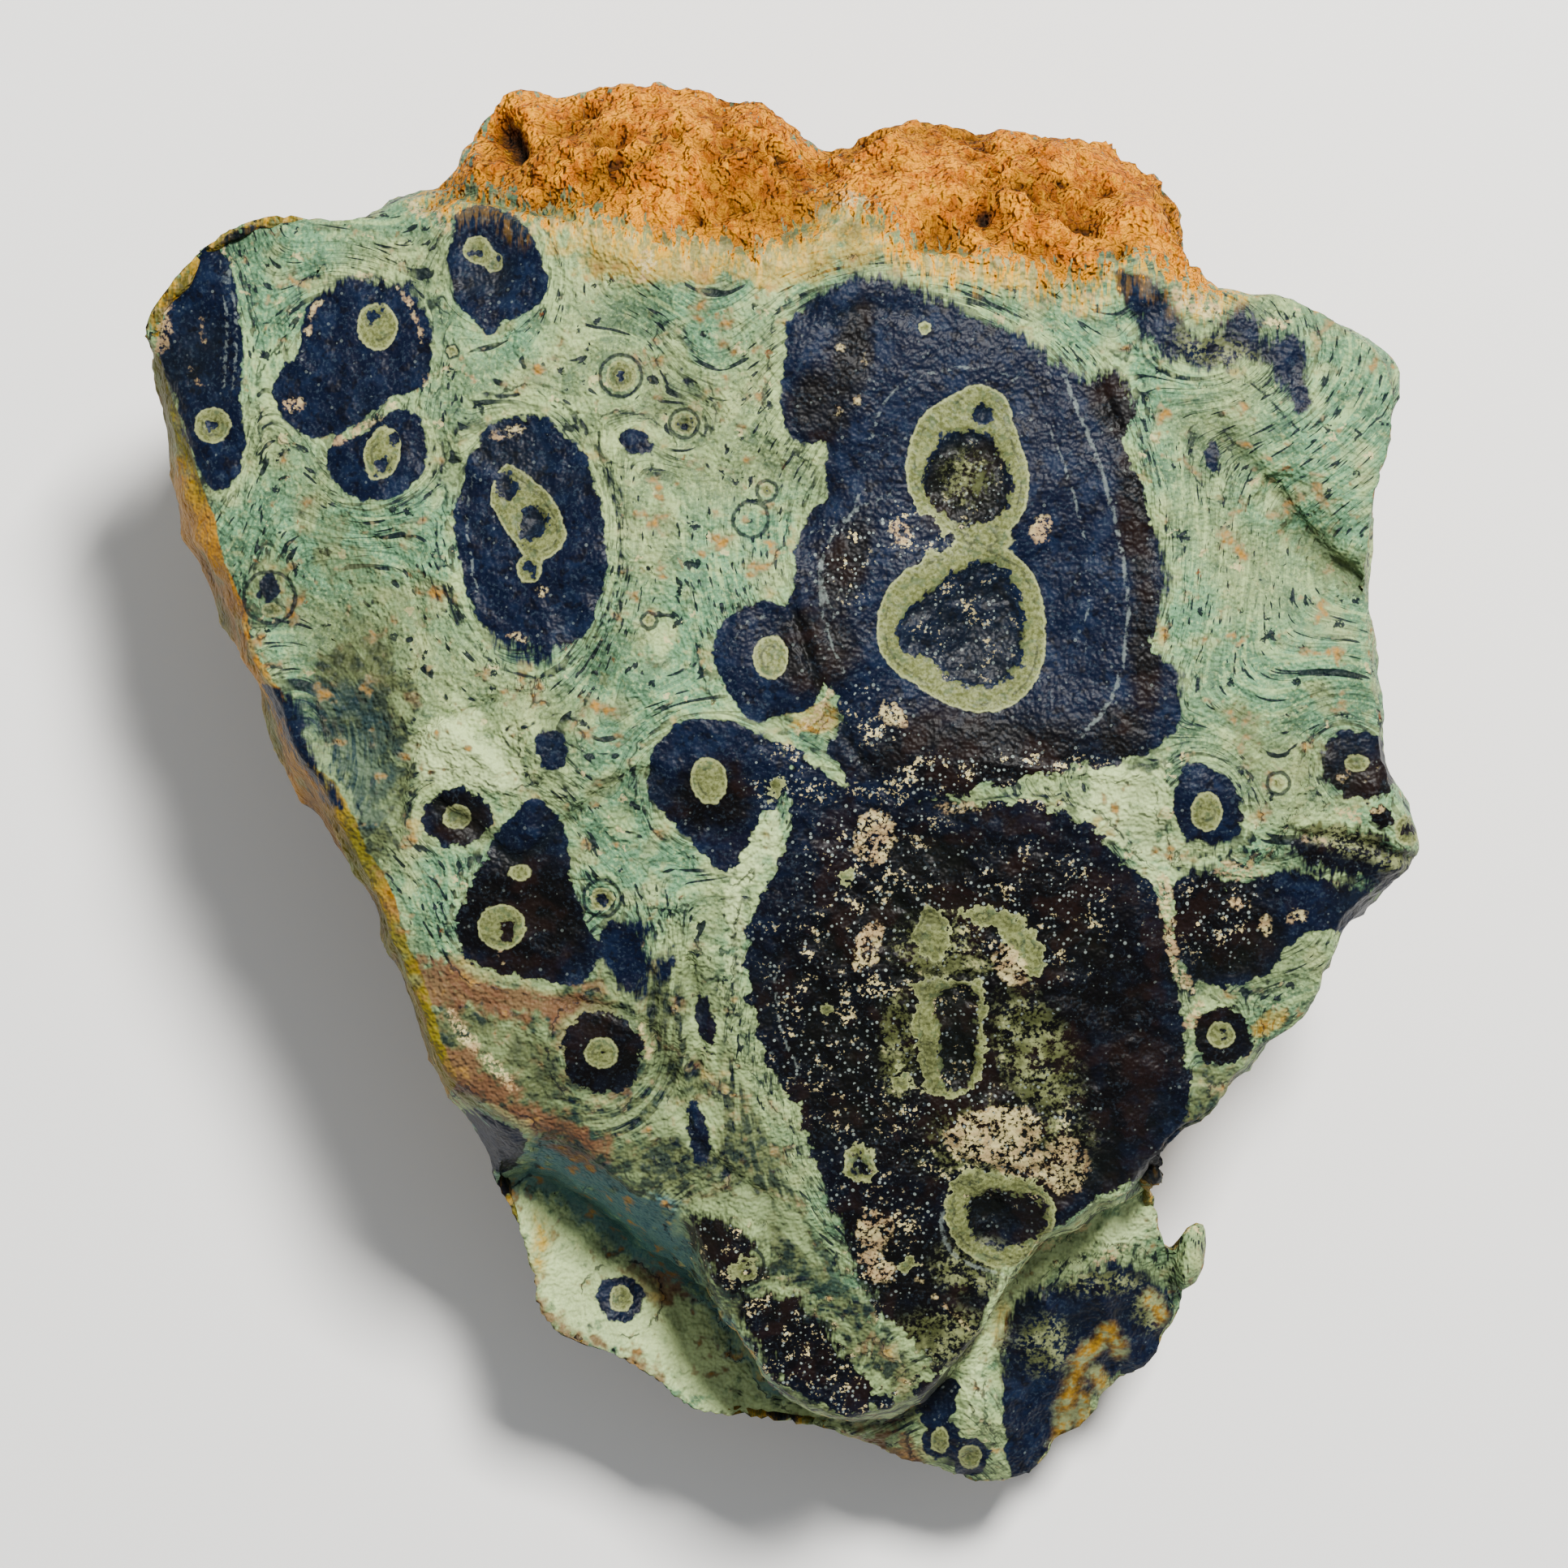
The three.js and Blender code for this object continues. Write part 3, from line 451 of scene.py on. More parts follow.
# The orbs of the sides and the back, in millimetres
ORB_DRAWS = 400
ORB_SEED = 2026
SMALL_ORB = (1.8, 1.6)  # least radius and how much it can grow
GREAT_ORB = (4.0, 8.5)
ORB_GAP = 1.0
ORB_SUNK = 0.25  # how deep an orb's middle lies, as a share of its radius
ORB_WOBBLE = [(0.7, 5.0, 31), (0.35, 2.2, 32)]  # as the layers above
ORB_SQUASH = (1.0, 1.0, 0.86)
ORB_EYE = 0.34  # width of an orb's eye, as a share of the orb's
ORB_CORE = 0.12

# Large odd numbers that scramble a lattice cell's place into its random direction
CELL_HASH = (73856093, 19349663, 83492791)
SEED_HASH = 2654435761
MIX_HASH = 1274126177

CURVE_PARTS = 5  # straight pieces between two corners of an outline


def ease(value, low, high):
    """Goes smoothly from 0 at low to 1 at high."""
    share = np.clip((value - low) / (high - low), 0.0, 1.0)
    return share * share * (3.0 - 2.0 * share)


def corner_slopes(cell, seed):
    """One random direction for each corner of a lattice."""
    mixed = np.full(len(cell), seed * SEED_HASH)
    for axis, factor in enumerate(CELL_HASH):
        mixed ^= cell[:, axis] * factor
    mixed = (mixed ^ (mixed >> 13)) * MIX_HASH & 0x7FFFFFFF
    parts = [mixed & 1023, (mixed >> 10) & 1023, (mixed >> 20) & 1023]
    return np.stack(parts, axis=1) / 511.5 - 1.0


def waves(points, size, seed):
    """Smooth noise of about -1 to 1, whose lumps are about a size across."""
    place = points / size + 1000.0
    cell = np.floor(place).astype(np.int64)
    part = place - cell
    blend = part * part * part * (part * (part * 6.0 - 15.0) + 10.0)
    total = np.zeros(len(points))
    for corner in np.ndindex(2, 2, 2):
        offset = np.array(corner)
        slope = corner_slopes(cell + offset, seed)
        weight = np.prod(np.where(offset == 1, blend, 1.0 - blend), axis=1)
        total += weight * np.sum(slope * (part - offset), axis=1)
    return total * 1.4


def cells(points, size, seed):
    """Distances to the nearest and next seed of a scattered lattice, and the nearest one's number."""
    place = points / size + 500.0
    base = np.floor(place).astype(np.int64)
    nearest = np.full(len(points), 9.0)
    second = np.full(len(points), 9.0)
    number = np.zeros(len(points))
    for step in np.ndindex(3, 3, 3):
        cell = base + np.array(step) - 1
        spot = corner_slopes(cell, seed)
        gap = np.linalg.norm(cell + 0.5 + spot * 0.5 - place, axis=1)
        closer = gap < nearest
        second = np.where(closer, nearest, np.minimum(second, gap))
        number = np.where(closer, spot[:, 0] * 0.5 + 0.5, number)
        nearest = np.where(closer, gap, nearest)
    return nearest * size, second * size, number


def photo_place(points_mm):
    """Where in the picture points of the stone are seen, in pixels."""
    scale = PX_MM * (1.0 + (FACE_MM - points_mm[:, 2]) / EYE_MM)
    u = CENTRE_PX + (points_mm[:, 0] - AXIS_MM[0]) / scale
    v = CENTRE_PX - (points_mm[:, 1] - AXIS_MM[1]) / scale
    return np.stack([u, v], axis=1)


def rounded(corners, closed=True):
    """The points of a smooth curve through corners."""
    points = np.array(corners, float)
    if closed:
        padded = np.vstack([points[-1:], points, points[:2]])
    else:
        padded = np.vstack([points[:1], points, points[-1:]])
    spans = []
    for a, b, c, d in zip(padded[:-3], padded[1:-2], padded[2:-1], padded[3:]):
        t = np.linspace(0.0, 1.0, CURVE_PARTS, endpoint=False)[:, None]
        spans.append(0.5 * (2 * b + (c - a) * t + (2 * a - 5 * b + 4 * c - d) * t**2
                            + (3 * b - a - 3 * c + d) * t**3))
    if not closed:
        spans.append(points[-1:])
    return np.vstack(spans)


def near(seen, line, reach):
    """Which seen points lie within reach of a line's box."""
    low = line.min(axis=0) - reach
    high = line.max(axis=0) + reach
    return np.flatnonzero(np.all((seen > low) & (seen < high), axis=1))


def line_gap(seen, line):
    """Distance in pixels from each point to a line of straight pieces."""
    gap = np.full(len(seen), 1e9)
    for start, end in zip(line[:-1], line[1:]):
        along = end - start
        share = np.clip((seen - start) @ along / max(along @ along, 1e-9), 0.0, 1.0)
        gap = np.minimum(gap, np.linalg.norm(seen - start - share[:, None] * along, axis=1))
    return gap


def inside_depth(seen, corners):
    """How deep inside an outline each point lies, in pixels, and less than zero outside it."""
    outline = rounded(corners)
    depth = np.full(len(seen), -FAR_PX)
    chosen = near(seen, outline, FAR_PX)
    if not len(chosen):
        return depth
    spots = seen[chosen]
    ring = np.vstack([outline, outline[:1]])
    gap = np.minimum(line_gap(spots, ring), FAR_PX)
    crossings = np.zeros(len(spots), bool)
    for start, end in zip(ring[:-1], ring[1:]):
        spans = (start[1] > spots[:, 1]) != (end[1] > spots[:, 1])
        rise = end[1] - start[1] if end[1] != start[1] else 1e-9
        at = start[0] + (spots[:, 1] - start[1]) * (end[0] - start[0]) / rise
        crossings ^= spans & (spots[:, 0] < at)
    depth[chosen] = np.where(crossings, gap, -gap)
    return depth


def oval_depth(seen, oval):
    """As inside_depth, for an oval of centre, half widths and lean."""
    u, v, wide, tall, lean = oval
    turn = math.radians(lean)
    du = seen[:, 0] - u
    dv = seen[:, 1] - v
    across = (du * math.cos(turn) + dv * math.sin(turn)) / wide
    along = (dv * math.cos(turn) - du * math.sin(turn)) / tall
    return np.maximum((1.0 - np.hypot(across, along)) * min(wide, tall), -FAR_PX)


def line_depth(seen, half_width, corners):
    """As inside_depth, for a line of a half width."""
    line = rounded(corners, closed=False)
    depth = np.full(len(seen), -FAR_PX)
    chosen = near(seen, line, FAR_PX)
    depth[chosen] = np.maximum(half_width - line_gap(seen[chosen], line), -FAR_PX)
    return depth


def deepest(depths):
    """The union of several shapes, as one depth."""
    return np.maximum.reduce(list(depths))


def lines_depth(seen, lines):
    """The union of lines, each given as its half width and its points."""
    return deepest([line_depth(seen, half_width, corners) for half_width, corners in lines])


def shapes_depth(seen, ovals, outlines):
    """The union of ovals and outlines."""
    return deepest([oval_depth(seen, oval) for oval in ovals]
                   + [inside_depth(seen, corners) for corners in outlines])


def soft_share(seen, ovals):
    """A share from 0 to 1 that fades out from the middles of ovals."""
    share = np.zeros(len(seen))
    for oval in ovals:
        _, _, wide, tall, _ = oval
        share = np.maximum(share, ease(oval_depth(seen, oval) / min(wide, tall), -0.35, 0.45))
    return share


class Orbs:
    """The orbs of the sides and the back, as balls scattered on the surface."""

    def __init__(self, points_mm, normals):
        draws = np.random.default_rng(ORB_SEED).random((ORB_DRAWS, 3))
        hidden = np.flatnonzero(normals[:, 2] < 0.1)
        picks = hidden[(draws[:, 0] * len(hidden)).astype(int)]
        self.balls = []
        for pick, (_, size, kind) in zip(picks, draws):
            if kind < 0.5:
                radius = SMALL_ORB[0] + SMALL_ORB[1] * size
            else:
                radius = GREAT_ORB[0] + GREAT_ORB[1] * size * size
            centre = points_mm[pick] - normals[pick] * radius * ORB_SUNK
            if all(np.linalg.norm(centre - other) > radius + wide + ORB_GAP for other, wide in self.balls):
                self.balls.append((centre, radius))

    def depth(self, points_mm, share):
        """Depth in millimetres inside the balls, each shrunk to a share of its radius."""
        wobble = layered(waves, points_mm, ORB_WOBBLE)
        depth = np.full(len(points_mm), -FAR_PX * PX_MM)
        for centre, radius in self.balls:
            gap = np.linalg.norm((points_mm - centre) * ORB_SQUASH, axis=1)
            depth = np.maximum(depth, (radius + wobble * radius * 0.16) * share - gap)
        return depth


# The mesh


def halve_long_edges(mesh, face_edge):
    """Splits edges in two until each is as short as its place asks."""
    for _ in range(HALVINGS):
        long_edges = [edge for edge in mesh.edges if edge.calc_length() > allowed_length(edge, face_edge)]
        if not long_edges:
            return
        bmesh.ops.subdivide_edges(mesh, edges=long_edges, cuts=1)
        bmesh.ops.triangulate(mesh, faces=[face for face in mesh.faces if len(face.verts) > 3])


def allowed_length(edge, face_edge):
    """The longest that an edge may be: short on the face, longer on the sides and the back."""
    upward = sum((face.normal.z for face in edge.link_faces), 0.0) / max(len(edge.link_faces), 1)
    if upward > FACE_UP or (upward > BACK_UP and edge.verts[0].co.y > RIND_FROM):
        return face_edge
    return SIDE_EDGE if upward > BACK_UP else BACK_EDGE


def even_out(points, edges, loose):
    """Smooths facets away without shrinking the form, as far as each corner is loose."""
    for _ in range(SMOOTH_ROUNDS):
        for pull in (0.5, -0.52):
            points = points + (neighbour_means(points, edges) - points) * pull * loose[:, None]
    return points


def neighbour_means(points, edges):
    """The mean place of each corner's neighbours."""
    count = len(points)
    links = np.bincount(edges.ravel(), minlength=count)
    total = np.zeros_like(points)
    for axis in range(3):
        total[:, axis] = np.bincount(edges[:, 0], points[edges[:, 1], axis], count)
        total[:, axis] += np.bincount(edges[:, 1], points[edges[:, 0], axis], count)
    return total / links[:, None]


def calm_spikes(points, edges):
    """Pulls back each corner that stands far out from its neighbours."""
    for _ in range(SPIKE_ROUNDS):
        pull = neighbour_means(points, edges) - points
        far = np.linalg.norm(pull, axis=1) > SPIKE_MM
        points = points + pull * (0.8 * far)[:, None]
    return points


def mesh_arrays(data):
    """The places, edges and normals of a mesh, in millimetres."""
    count = len(data.vertices)
    points = np.empty(count * 3)
    data.vertices.foreach_get("co", points)
    edges = np.empty(len(data.edges) * 2, np.int64)
    data.edges.foreach_get("vertices", edges)
    normals = np.empty(count * 3)
    data.vertices.foreach_get("normal", normals)
    return points.reshape(-1, 3) / MM, edges.reshape(-1, 2), normals.reshape(-1, 3)


def set_places(data, points_mm):
    """Writes the places of a mesh's corners."""
    data.vertices.foreach_set("co", (points_mm * MM).ravel())
    data.update()


def scoops(points, size, seed):
    """Hollows of about a size with sharp ridges between them, from -1 to 0."""
    nearest, second, number = cells(points, size, seed)
    return ((nearest / second) ** 2 - 1.0) * (0.35 + 0.65 * number)


def layered(kind, points, layers):
    """The sum of one kind of noise in several layers."""
    return sum(strength * kind(points, size, seed) for strength, size, seed in layers)


def surface_relief(points, normals, seen):
    """Rise and fall of the broken surface along its normals, in millimetres."""
    upward = ease(normals[:, 2], 0.0, 0.5)
    rind = ease(inside_depth(seen, ORANGE), -14, 14) * ease(normals[:, 2], -0.5, 0.0)
    smooth = 1.0 - 0.65 * ease(inside_depth(seen, BODIES["great_upper"]), -6, 20) * upward
    broken = layered(waves, points, FACE_WAVES) + layered(scoops, points, FACE_CHIPS) * upward
    facets = layered(scoops, points, SIDE_CHIPS) * (1.0 - upward)
    relief = broken * smooth + facets + 0.1
    rough = 0.6 + 0.6 * ease(waves(points, 12.0, 16), -0.2, 0.25)
    crust = rough * (layered(scoops, points, RIND_CHIPS) + 0.5 * waves(points, 1.7, 7))
    crust += 0.8 * waves(points, 7.5, 6) + 0.5
    pits = -1.2 * ease(waves(points, 3.0, 8), 0.36, 0.6)
    relief += rind * (crust + pits - 0.2)
    for half_width, rise, corners in CREVICES:
        reach = half_width * 2.2
        gap = reach - line_depth(seen, reach, corners)
        relief += rise * np.exp(-((gap / half_width) ** 2)) * upward
    hollow = ease(shapes_depth(seen, CORES, CORE_OUTLINES.values()), -2.0, 7.0) * upward
    relief -= hollow * (0.35 + 0.6 * np.abs(waves(points, 1.3, 9)))
    pocked = ease(inside_depth(seen, BODIES["great_lower"]), -8, 30) * upward
    return relief + pocked * layered(waves, points, BODY_WAVES)


def stone_mesh(source, settings):
    """The fine surface, made from the solid's own skin, and its relief."""
    work = bmesh.new()
    work.from_mesh(source)
    bmesh.ops.remove_doubles(work, verts=work.verts, dist=WELD)
    bmesh.ops.triangulate(work, faces=work.faces)
    halve_long_edges(work, settings.face_edge)
    data = bpy.data.meshes.new("jasper_stone")
    work.to_mesh(data)
    work.free()
    data.polygons.foreach_set("use_smooth", [True] * len(data.polygons))
    points, edges, _ = mesh_arrays(data)
    set_places(data, even_out(points, edges, ease(points[:, 2], 0.1, 1.5)))
    points, _, normals = mesh_arrays(data)
    relief = surface_relief(points, normals, photo_place(points)) * ease(points[:, 2], 0.2, 2.5)
    relief *= settings.relief
    points = calm_spikes(points + normals * relief[:, None], edges)
    low = np.array(CAD_BOX[0]) / MM
    high = np.array(CAD_BOX[1]) / MM
    set_places(data, np.clip(points, low, high))
    return data, relief


def flow_depth(seen):
    """A smooth measure of how far each point is from the orbs, which the fibres follow."""
    bodies = list(ROUND_BODIES[:4]) + [(u, v, r, r, 0) for u, v, r in THIN_RINGS[:3]]
    for corners in BODIES.values():
        outline = np.array(corners, float)
        half = (outline.max(axis=0) - outline.min(axis=0)) / 2.0
        middle = (outline.max(axis=0) + outline.min(axis=0)) / 2.0
        bodies.append((middle[0], middle[1], half[0], half[1], 0))
    blend = 26.0
    total = np.zeros(len(seen))
    for u, v, wide, tall, _ in bodies:
        reach = np.hypot((seen[:, 0] - u) / wide, (seen[:, 1] - v) / tall) - 1.0
        total += np.exp(-np.clip(reach * min(wide, tall), -200.0, 900.0) / blend)
    return -blend * np.log(total + 1e-12)


def zone_depth(seen, name):
    """The union of a zone's outlines."""
    return shapes_depth(seen, [], ZONES[name])


def paint_fields(data, relief):
    """Writes the places of the stone's markings, and of its painted shade and painted light, on the mesh, as
    depths in millimetres or as shares.
    """
    points, _, normals = mesh_arrays(data)
    seen = photo_place(points)
    facing = ease(normals[:, 2], 0.02, 0.3)
    orbs = Orbs(points, normals)

    def join(front_px, ball_share):
        """The face's markings joined with the orbs of the sides and the back."""
        balls = orbs.depth(points, ball_share)
        return front_px * PX_MM * facing + balls * (1.0 - facing)

    visible = ease(normals[:, 2], -0.12, 0.12)
    # Painted shade on the cliff wall under the lower-left edge; the side walls' paint is kept off it
    painted_shade_teal = ease(zone_depth(seen, "painted_shade_teal"), -46, 34) * visible
    walls = (1.0 - ease(normals[:, 2], -0.1, 0.35)) * (1.0 - painted_shade_teal)
    fields = {
        "dark": join(shapes_depth(seen, ROUND_BODIES, BODIES.values()), 1.0),
        "ring": join(deepest([oval_depth(seen, (u, v, r, r, 0)) for u, v, r in THIN_RINGS]), 0.0),
        "eye": join(shapes_depth(seen, EYES, EYE_OUTLINES.values()), ORB_EYE),
        "core": join(shapes_depth(seen, CORES, CORE_OUTLINES.values()), ORB_CORE),
        "cream": np.maximum(lines_depth(seen, CREAM_LINES), shapes_depth(seen, CREAM_SPOTS, [])) * PX_MM,
        "arc": lines_depth(seen, FAINT_ARCS) * PX_MM,
        "line": lines_depth(seen, DARK_LINES) * PX_MM,
        "gold": lines_depth(seen, GOLD_LINES) * PX_MM,
        "flow": flow_depth(seen) * PX_MM,
        "relief": relief,
        "warm": np.maximum(soft_share(seen, WARM) * facing, 0.55 * (1.0 - facing)),
        "side": np.maximum(ease(inside_depth(seen, SIDE_STRIP), -4, 4), 0.75 * walls),
        "ochre": 1.0 - 0.9 * ease(points[:, 1], 30.0, 44.0),
    }
    for name, ovals in (("speckled", SPECKLED), ("yellow", YELLOW_SPOTS), ("mist", MISTS), ("fuzzy", FUZZY)):
        fields[name] = soft_share(seen, ovals) * facing
    for name in ZONES:
        fields[name] = ease(zone_depth(seen, name), -30, 24) * visible
    rind_side = ease(points[:, 1], 38.0, 56.0) * ease(points[:, 2], 4.0, 22.0)
    rind_side *= ease(points[:, 0], -38.0, -28.0) * (1.0 - ease(points[:, 0], 34.0, 44.0))
    fields["orange"] = np.where(facing > 0.5, inside_depth(seen, ORANGE) * PX_MM, 4.0 * rind_side - 2.4)
    for name, values in fields.items():
        layer = data.attributes.new(name, "FLOAT", "POINT")
        layer.data.foreach_set("value", np.asarray(values, np.float32))


# The material


def linear(red, green, blue):
    """A colour given in screen values of 0 to 255, as the shader wants it."""
    parts = [value / 255.0 for value in (red, green, blue)]
    parts = [part / 12.92 if part <= 0.04045 else ((part + 0.055) / 1.055) ** 2.4 for part in parts]
    return (*parts, 1.0)


class Socket:
    """An output of a material's node, on which Python's signs add Math nodes."""

    def __init__(self, shader, output):
        self.shader = shader
        self.output = output

    def _with(self, operation, *others):
        """A Math node on this socket and other values."""
        return self.shader.add("ShaderNodeMath", {"operation": operation}, dict(enumerate((self, *others))))

    def __add__(self, other):
        return self._with("ADD", other)

    def __sub__(self, other):
        return self._with("SUBTRACT", other)

    def __mul__(self, other):
        return self._with("MULTIPLY", other)

    def __rsub__(self, other):
        return self.shader.add("ShaderNodeMath", {"operation": "SUBTRACT"}, {0: other, 1: self})

    def __abs__(self):
        return self._with("ABSOLUTE")

    __radd__ = __add__
    __rmul__ = __mul__

    def above(self, other):
        """The larger of two."""
        return self._with("MAXIMUM", other)

    def beside(self, name):
        """Another output of the same node."""
        return Socket(self.shader, self.output.node.outputs[name])


class Shader:
    """One material's nodes, and the settings whose colours it takes."""

    def __init__(self, name, settings):
        self.settings = settings
        self.material = bpy.data.materials.new(name)
        self.material.use_nodes = True
        self.nodes = self.material.node_tree.nodes
        self.links = self.material.node_tree.links
        self.surface = self.nodes["Principled BSDF"]
        where = self.add("ShaderNodeTexCoord", {}, {}, "Object")
        self.place = self.add("ShaderNodeVectorMath", {"operation": "SCALE"}, {0: where, "Scale": 1.0 / MM})

    def add(self, kind, settings, values, output=0):
        """A node of a kind, with its settings and what goes in its sockets; gives one output."""
        node = self.nodes.new(kind)
        for name, value in settings.items():
            setattr(node, name, value)
        for name, value in values.items():
            self.feed(node.inputs[name], value)
        return Socket(self, node.outputs[output])

    def feed(self, slot, value):
        """Links a socket, or sets its value."""
        if isinstance(value, Socket):
            self.links.new(value.output, slot)
        else:
            slot.default_value = value

    def field(self, name):
        """A number that is written on the mesh."""
        return self.add("ShaderNodeAttribute", {"attribute_name": name}, {}, "Fac")

    def noise(self, size, detail, rough, vector):
        """Noise from 0 to 1 whose lumps are about a size in millimetres."""
        values = {"Vector": vector, "Scale": 1.0 / size, "Detail": detail, "Roughness": rough}
        return self.add("ShaderNodeTexNoise", {}, values)

    def shifted(self, first, second):
        """The sum of two vectors."""
        return self.add("ShaderNodeVectorMath", {"operation": "ADD"}, {0: first, 1: second})

    def moved(self, x, y, z):
        """The place, moved aside so that no two noises are alike."""
        return self.shifted(self.place, (x, y, z))

    def step(self, value, low, high):
        """Goes smoothly from 0 at low to 1 at high."""
        settings = {"interpolation_type": "SMOOTHSTEP"}
        return self.add("ShaderNodeMapRange", settings, {"Value": value, "From Min": low, "From Max": high})

    def grains(self, size, vector):
        """Round grains of about a size, as a mask, and a number from 0 to 1 for each grain."""
        gap = self.add("ShaderNodeTexVoronoi", {}, {"Vector": vector, "Scale": 1.0 / size}, "Distance")
        number = self.add("ShaderNodeSeparateColor", {}, {"Color": gap.beside("Color")}, "Red")
        return 1.0 - self.step(gap - number.beside("Green") * 0.32, 0.04, 0.16), number

    def mix(self, share, first, second):
        """One colour turning into another as a share goes from 0 to 1."""
        return self.add("ShaderNodeMix", {"data_type": "RGBA"}, {0: share, 6: first, 7: second}, 2)


# Colours, as screen values
SAGE = linear(124, 142, 96)
MINT = linear(96, 138, 102)
DEEP_GREEN = linear(56, 80, 62)
CREAM_GREEN = linear(162, 174, 116)
FIBRE = linear(10, 20, 30)
NAVY = linear(6, 15, 36)
NAVY_LIGHT = linear(20, 36, 62)
BLACK = linear(6, 5, 6)
EYE_OLIVE = linear(84, 90, 50)
EYE_RIM = linear(144, 151, 101)
CREAM = linear(206, 190, 134)
CREAM_PINK = linear(174, 146, 104)
DEEP_ORANGE = linear(178, 96, 0)
BRIGHT_ORANGE = linear(224, 144, 0)
BURNT = linear(84, 38, 2)
RIND_YELLOW = linear(214, 160, 12)
RUST = linear(104, 70, 48)
# Painted shade: the shaded cliff wall's blue-green, and the dark teal of the shaded left facet
PAINTED_SHADE_TEAL = linear(64, 106, 110)
PAINTED_SHADE_DARK_TEAL = linear(30, 54, 60)
OLIVE_BROWN = linear(84, 92, 58)
PALE = linear(166, 190, 126)
# Paler green, brightened to serve as painted light on the lit facets
PALE_AND_PAINTED_LIGHT = linear(192, 212, 148)
GOLD = linear(168, 126, 14)
SIDE_OLIVE = linear(110, 100, 14)
SIDE_OCHRE = linear(166, 112, 6)
SIDE_PINK = linear(134, 92, 62)
SPECK_WHITE = linear(150, 164, 158)
BROWN_FLECK = linear(108, 66, 36)
RED_BROWN = linear(30, 17, 13)
DUST = linear(52, 66, 78)
SHADE = linear(14, 18, 12)

# Stained zones over the ground, with painted shade (teal, shady and part of olive) and painted light (part of
# pale), in the order in which they cover each other: paint and largest share
ZONE_PAINTS = {
    "olive": (OLIVE_BROWN, 0.5), "pale": (PALE_AND_PAINTED_LIGHT, 0.7), "shady": (PAINTED_SHADE_DARK_TEAL, 0.66),
    "painted_shade_teal": (PAINTED_SHADE_TEAL, 0.85), "rust": (RUST, 0.85), "yellow": (RIND_YELLOW, 0.36),
}

STREAK_SCALE = (1.7, 0.4, 0.8)  # the streaks run along the stone
STONE_ROUGH = 0.54
SPECULAR = 0.1
STONE_BUMP = 0.0005  # depth of the grain, in metres


def shared_noises(s):
    """The noises that the colours share, from 0 to 1, from the broadest to the finest."""
    return {
        "broad": s.noise(15.0, 1.0, 0.55, s.place),
        "middle": s.noise(4.2, 2.0, 0.6, s.moved(31, 7, 3)),
        "patch": s.noise(2.6, 2.0, 0.68, s.moved(50, 1, 2)),
        "wander": s.noise(1.15, 2.0, 0.62, s.moved(2, 2, 2)),
        "grit": s.noise(0.36, 2.0, 0.6, s.moved(3, 1, 2)),
    }


def flowing(s, flow, across, along):
    """The place, drawn out along the orbs' outlines: scaled by one share across and another along."""
    over = s.add("ShaderNodeCombineXYZ", {}, {0: flow * across})
    on = s.add("ShaderNodeVectorMath", {"operation": "SCALE"}, {0: s.place, "Scale": along})
    return s.shifted(over, on)


def ground_colour(s, n, flow, dark):
    """The green ground, with its fibres that flow round the orbs."""
    colour = s.mix(s.step(n["broad"], 0.4, 0.6), s.settings.ground, s.settings.mint)
    colour = s.mix(s.step(n["middle"], 0.5, 0.66) * 0.65, colour, CREAM_GREEN)
    colour = s.mix((1.0 - s.step(n["middle"], 0.32, 0.46)) * 0.6, colour, DEEP_GREEN)
    colour = s.mix(s.step(n["wander"], 0.56, 0.7) * 0.5, colour, CREAM_GREEN)
    colour = s.mix(s.step(n["grit"], 0.54, 0.68) * 0.5, colour, PALE)
    colour = s.mix((1.0 - s.step(n["grit"], 0.32, 0.44)) * 0.55, colour, DEEP_GREEN)
    stream = s.noise(1.0, 2.0, 0.62, flowing(s, flow, 1.5, 0.16))
    dashes = s.noise(1.0, 1.0, 0.55, flowing(s, flow, 3.0, 0.62))
    close = s.step(dark, -3.4, -0.5)
    gather = s.step(n["broad"] * 0.5 + n["middle"] * 0.5, 0.46, 0.58)
    colour = s.mix(s.step(stream, 0.56, 0.68) * 0.5, colour, PALE)
    thin = 1.0 - s.step(abs(stream - 0.46), 0.008, 0.03)
    dash = s.step(dashes + close * 0.075 + gather * 0.035, 0.66, 0.7)
    fibres = (thin * (0.05 + 0.45 * gather).above(close * 0.85)).above(dash * 0.95)
    colour = s.mix(s.step(stream, 0.34, 0.43) * (1.0 - s.step(stream, 0.43, 0.47)) * 0.35, colour, DEEP_GREEN)
    colour = s.mix(fibres, colour, FIBRE)
    shake = {0: n["wander"] * 3.4, 1: n["grit"] * 1.6, 2: n["patch"] * 3.0}
    spots, kinds = s.grains(1.35, s.shifted(s.place, s.add("ShaderNodeCombineXYZ", {}, shake)))
    colour = s.mix(s.step(kinds, 0.82, 0.84) * spots * 0.95, colour, FIBRE)
    colour = s.mix((1.0 - s.step(kinds, 0.06, 0.08)) * spots * 0.6, colour, CREAM)
    browns = s.step(kinds, 0.08, 0.09) * (1.0 - s.step(kinds, 0.11, 0.12))
    colour = s.mix(browns * spots * 0.75, colour, BROWN_FLECK)
    # The murky zones' darker mix; on the left facet it is also painted shade
    murky = s.step(s.field("murky") + (n["patch"] - 0.5) * 1.6 + (n["middle"] - 0.5) * 1.2, 0.12, 0.46)
    murky_mix = s.mix(s.step(n["wander"] * 0.6 + stream * 0.4, 0.42, 0.56), FIBRE, OLIVE_BROWN)
    murky_mix = s.mix(s.step(n["patch"] * 0.6 + stream * 0.4, 0.52, 0.6) * 0.7, murky_mix, RUST)
    murky_mix = s.mix(s.step(n["middle"] * 0.4 + stream * 0.6, 0.5, 0.58) * 0.85, murky_mix, SAGE)
    return s.mix(murky * 0.85, colour, murky_mix)


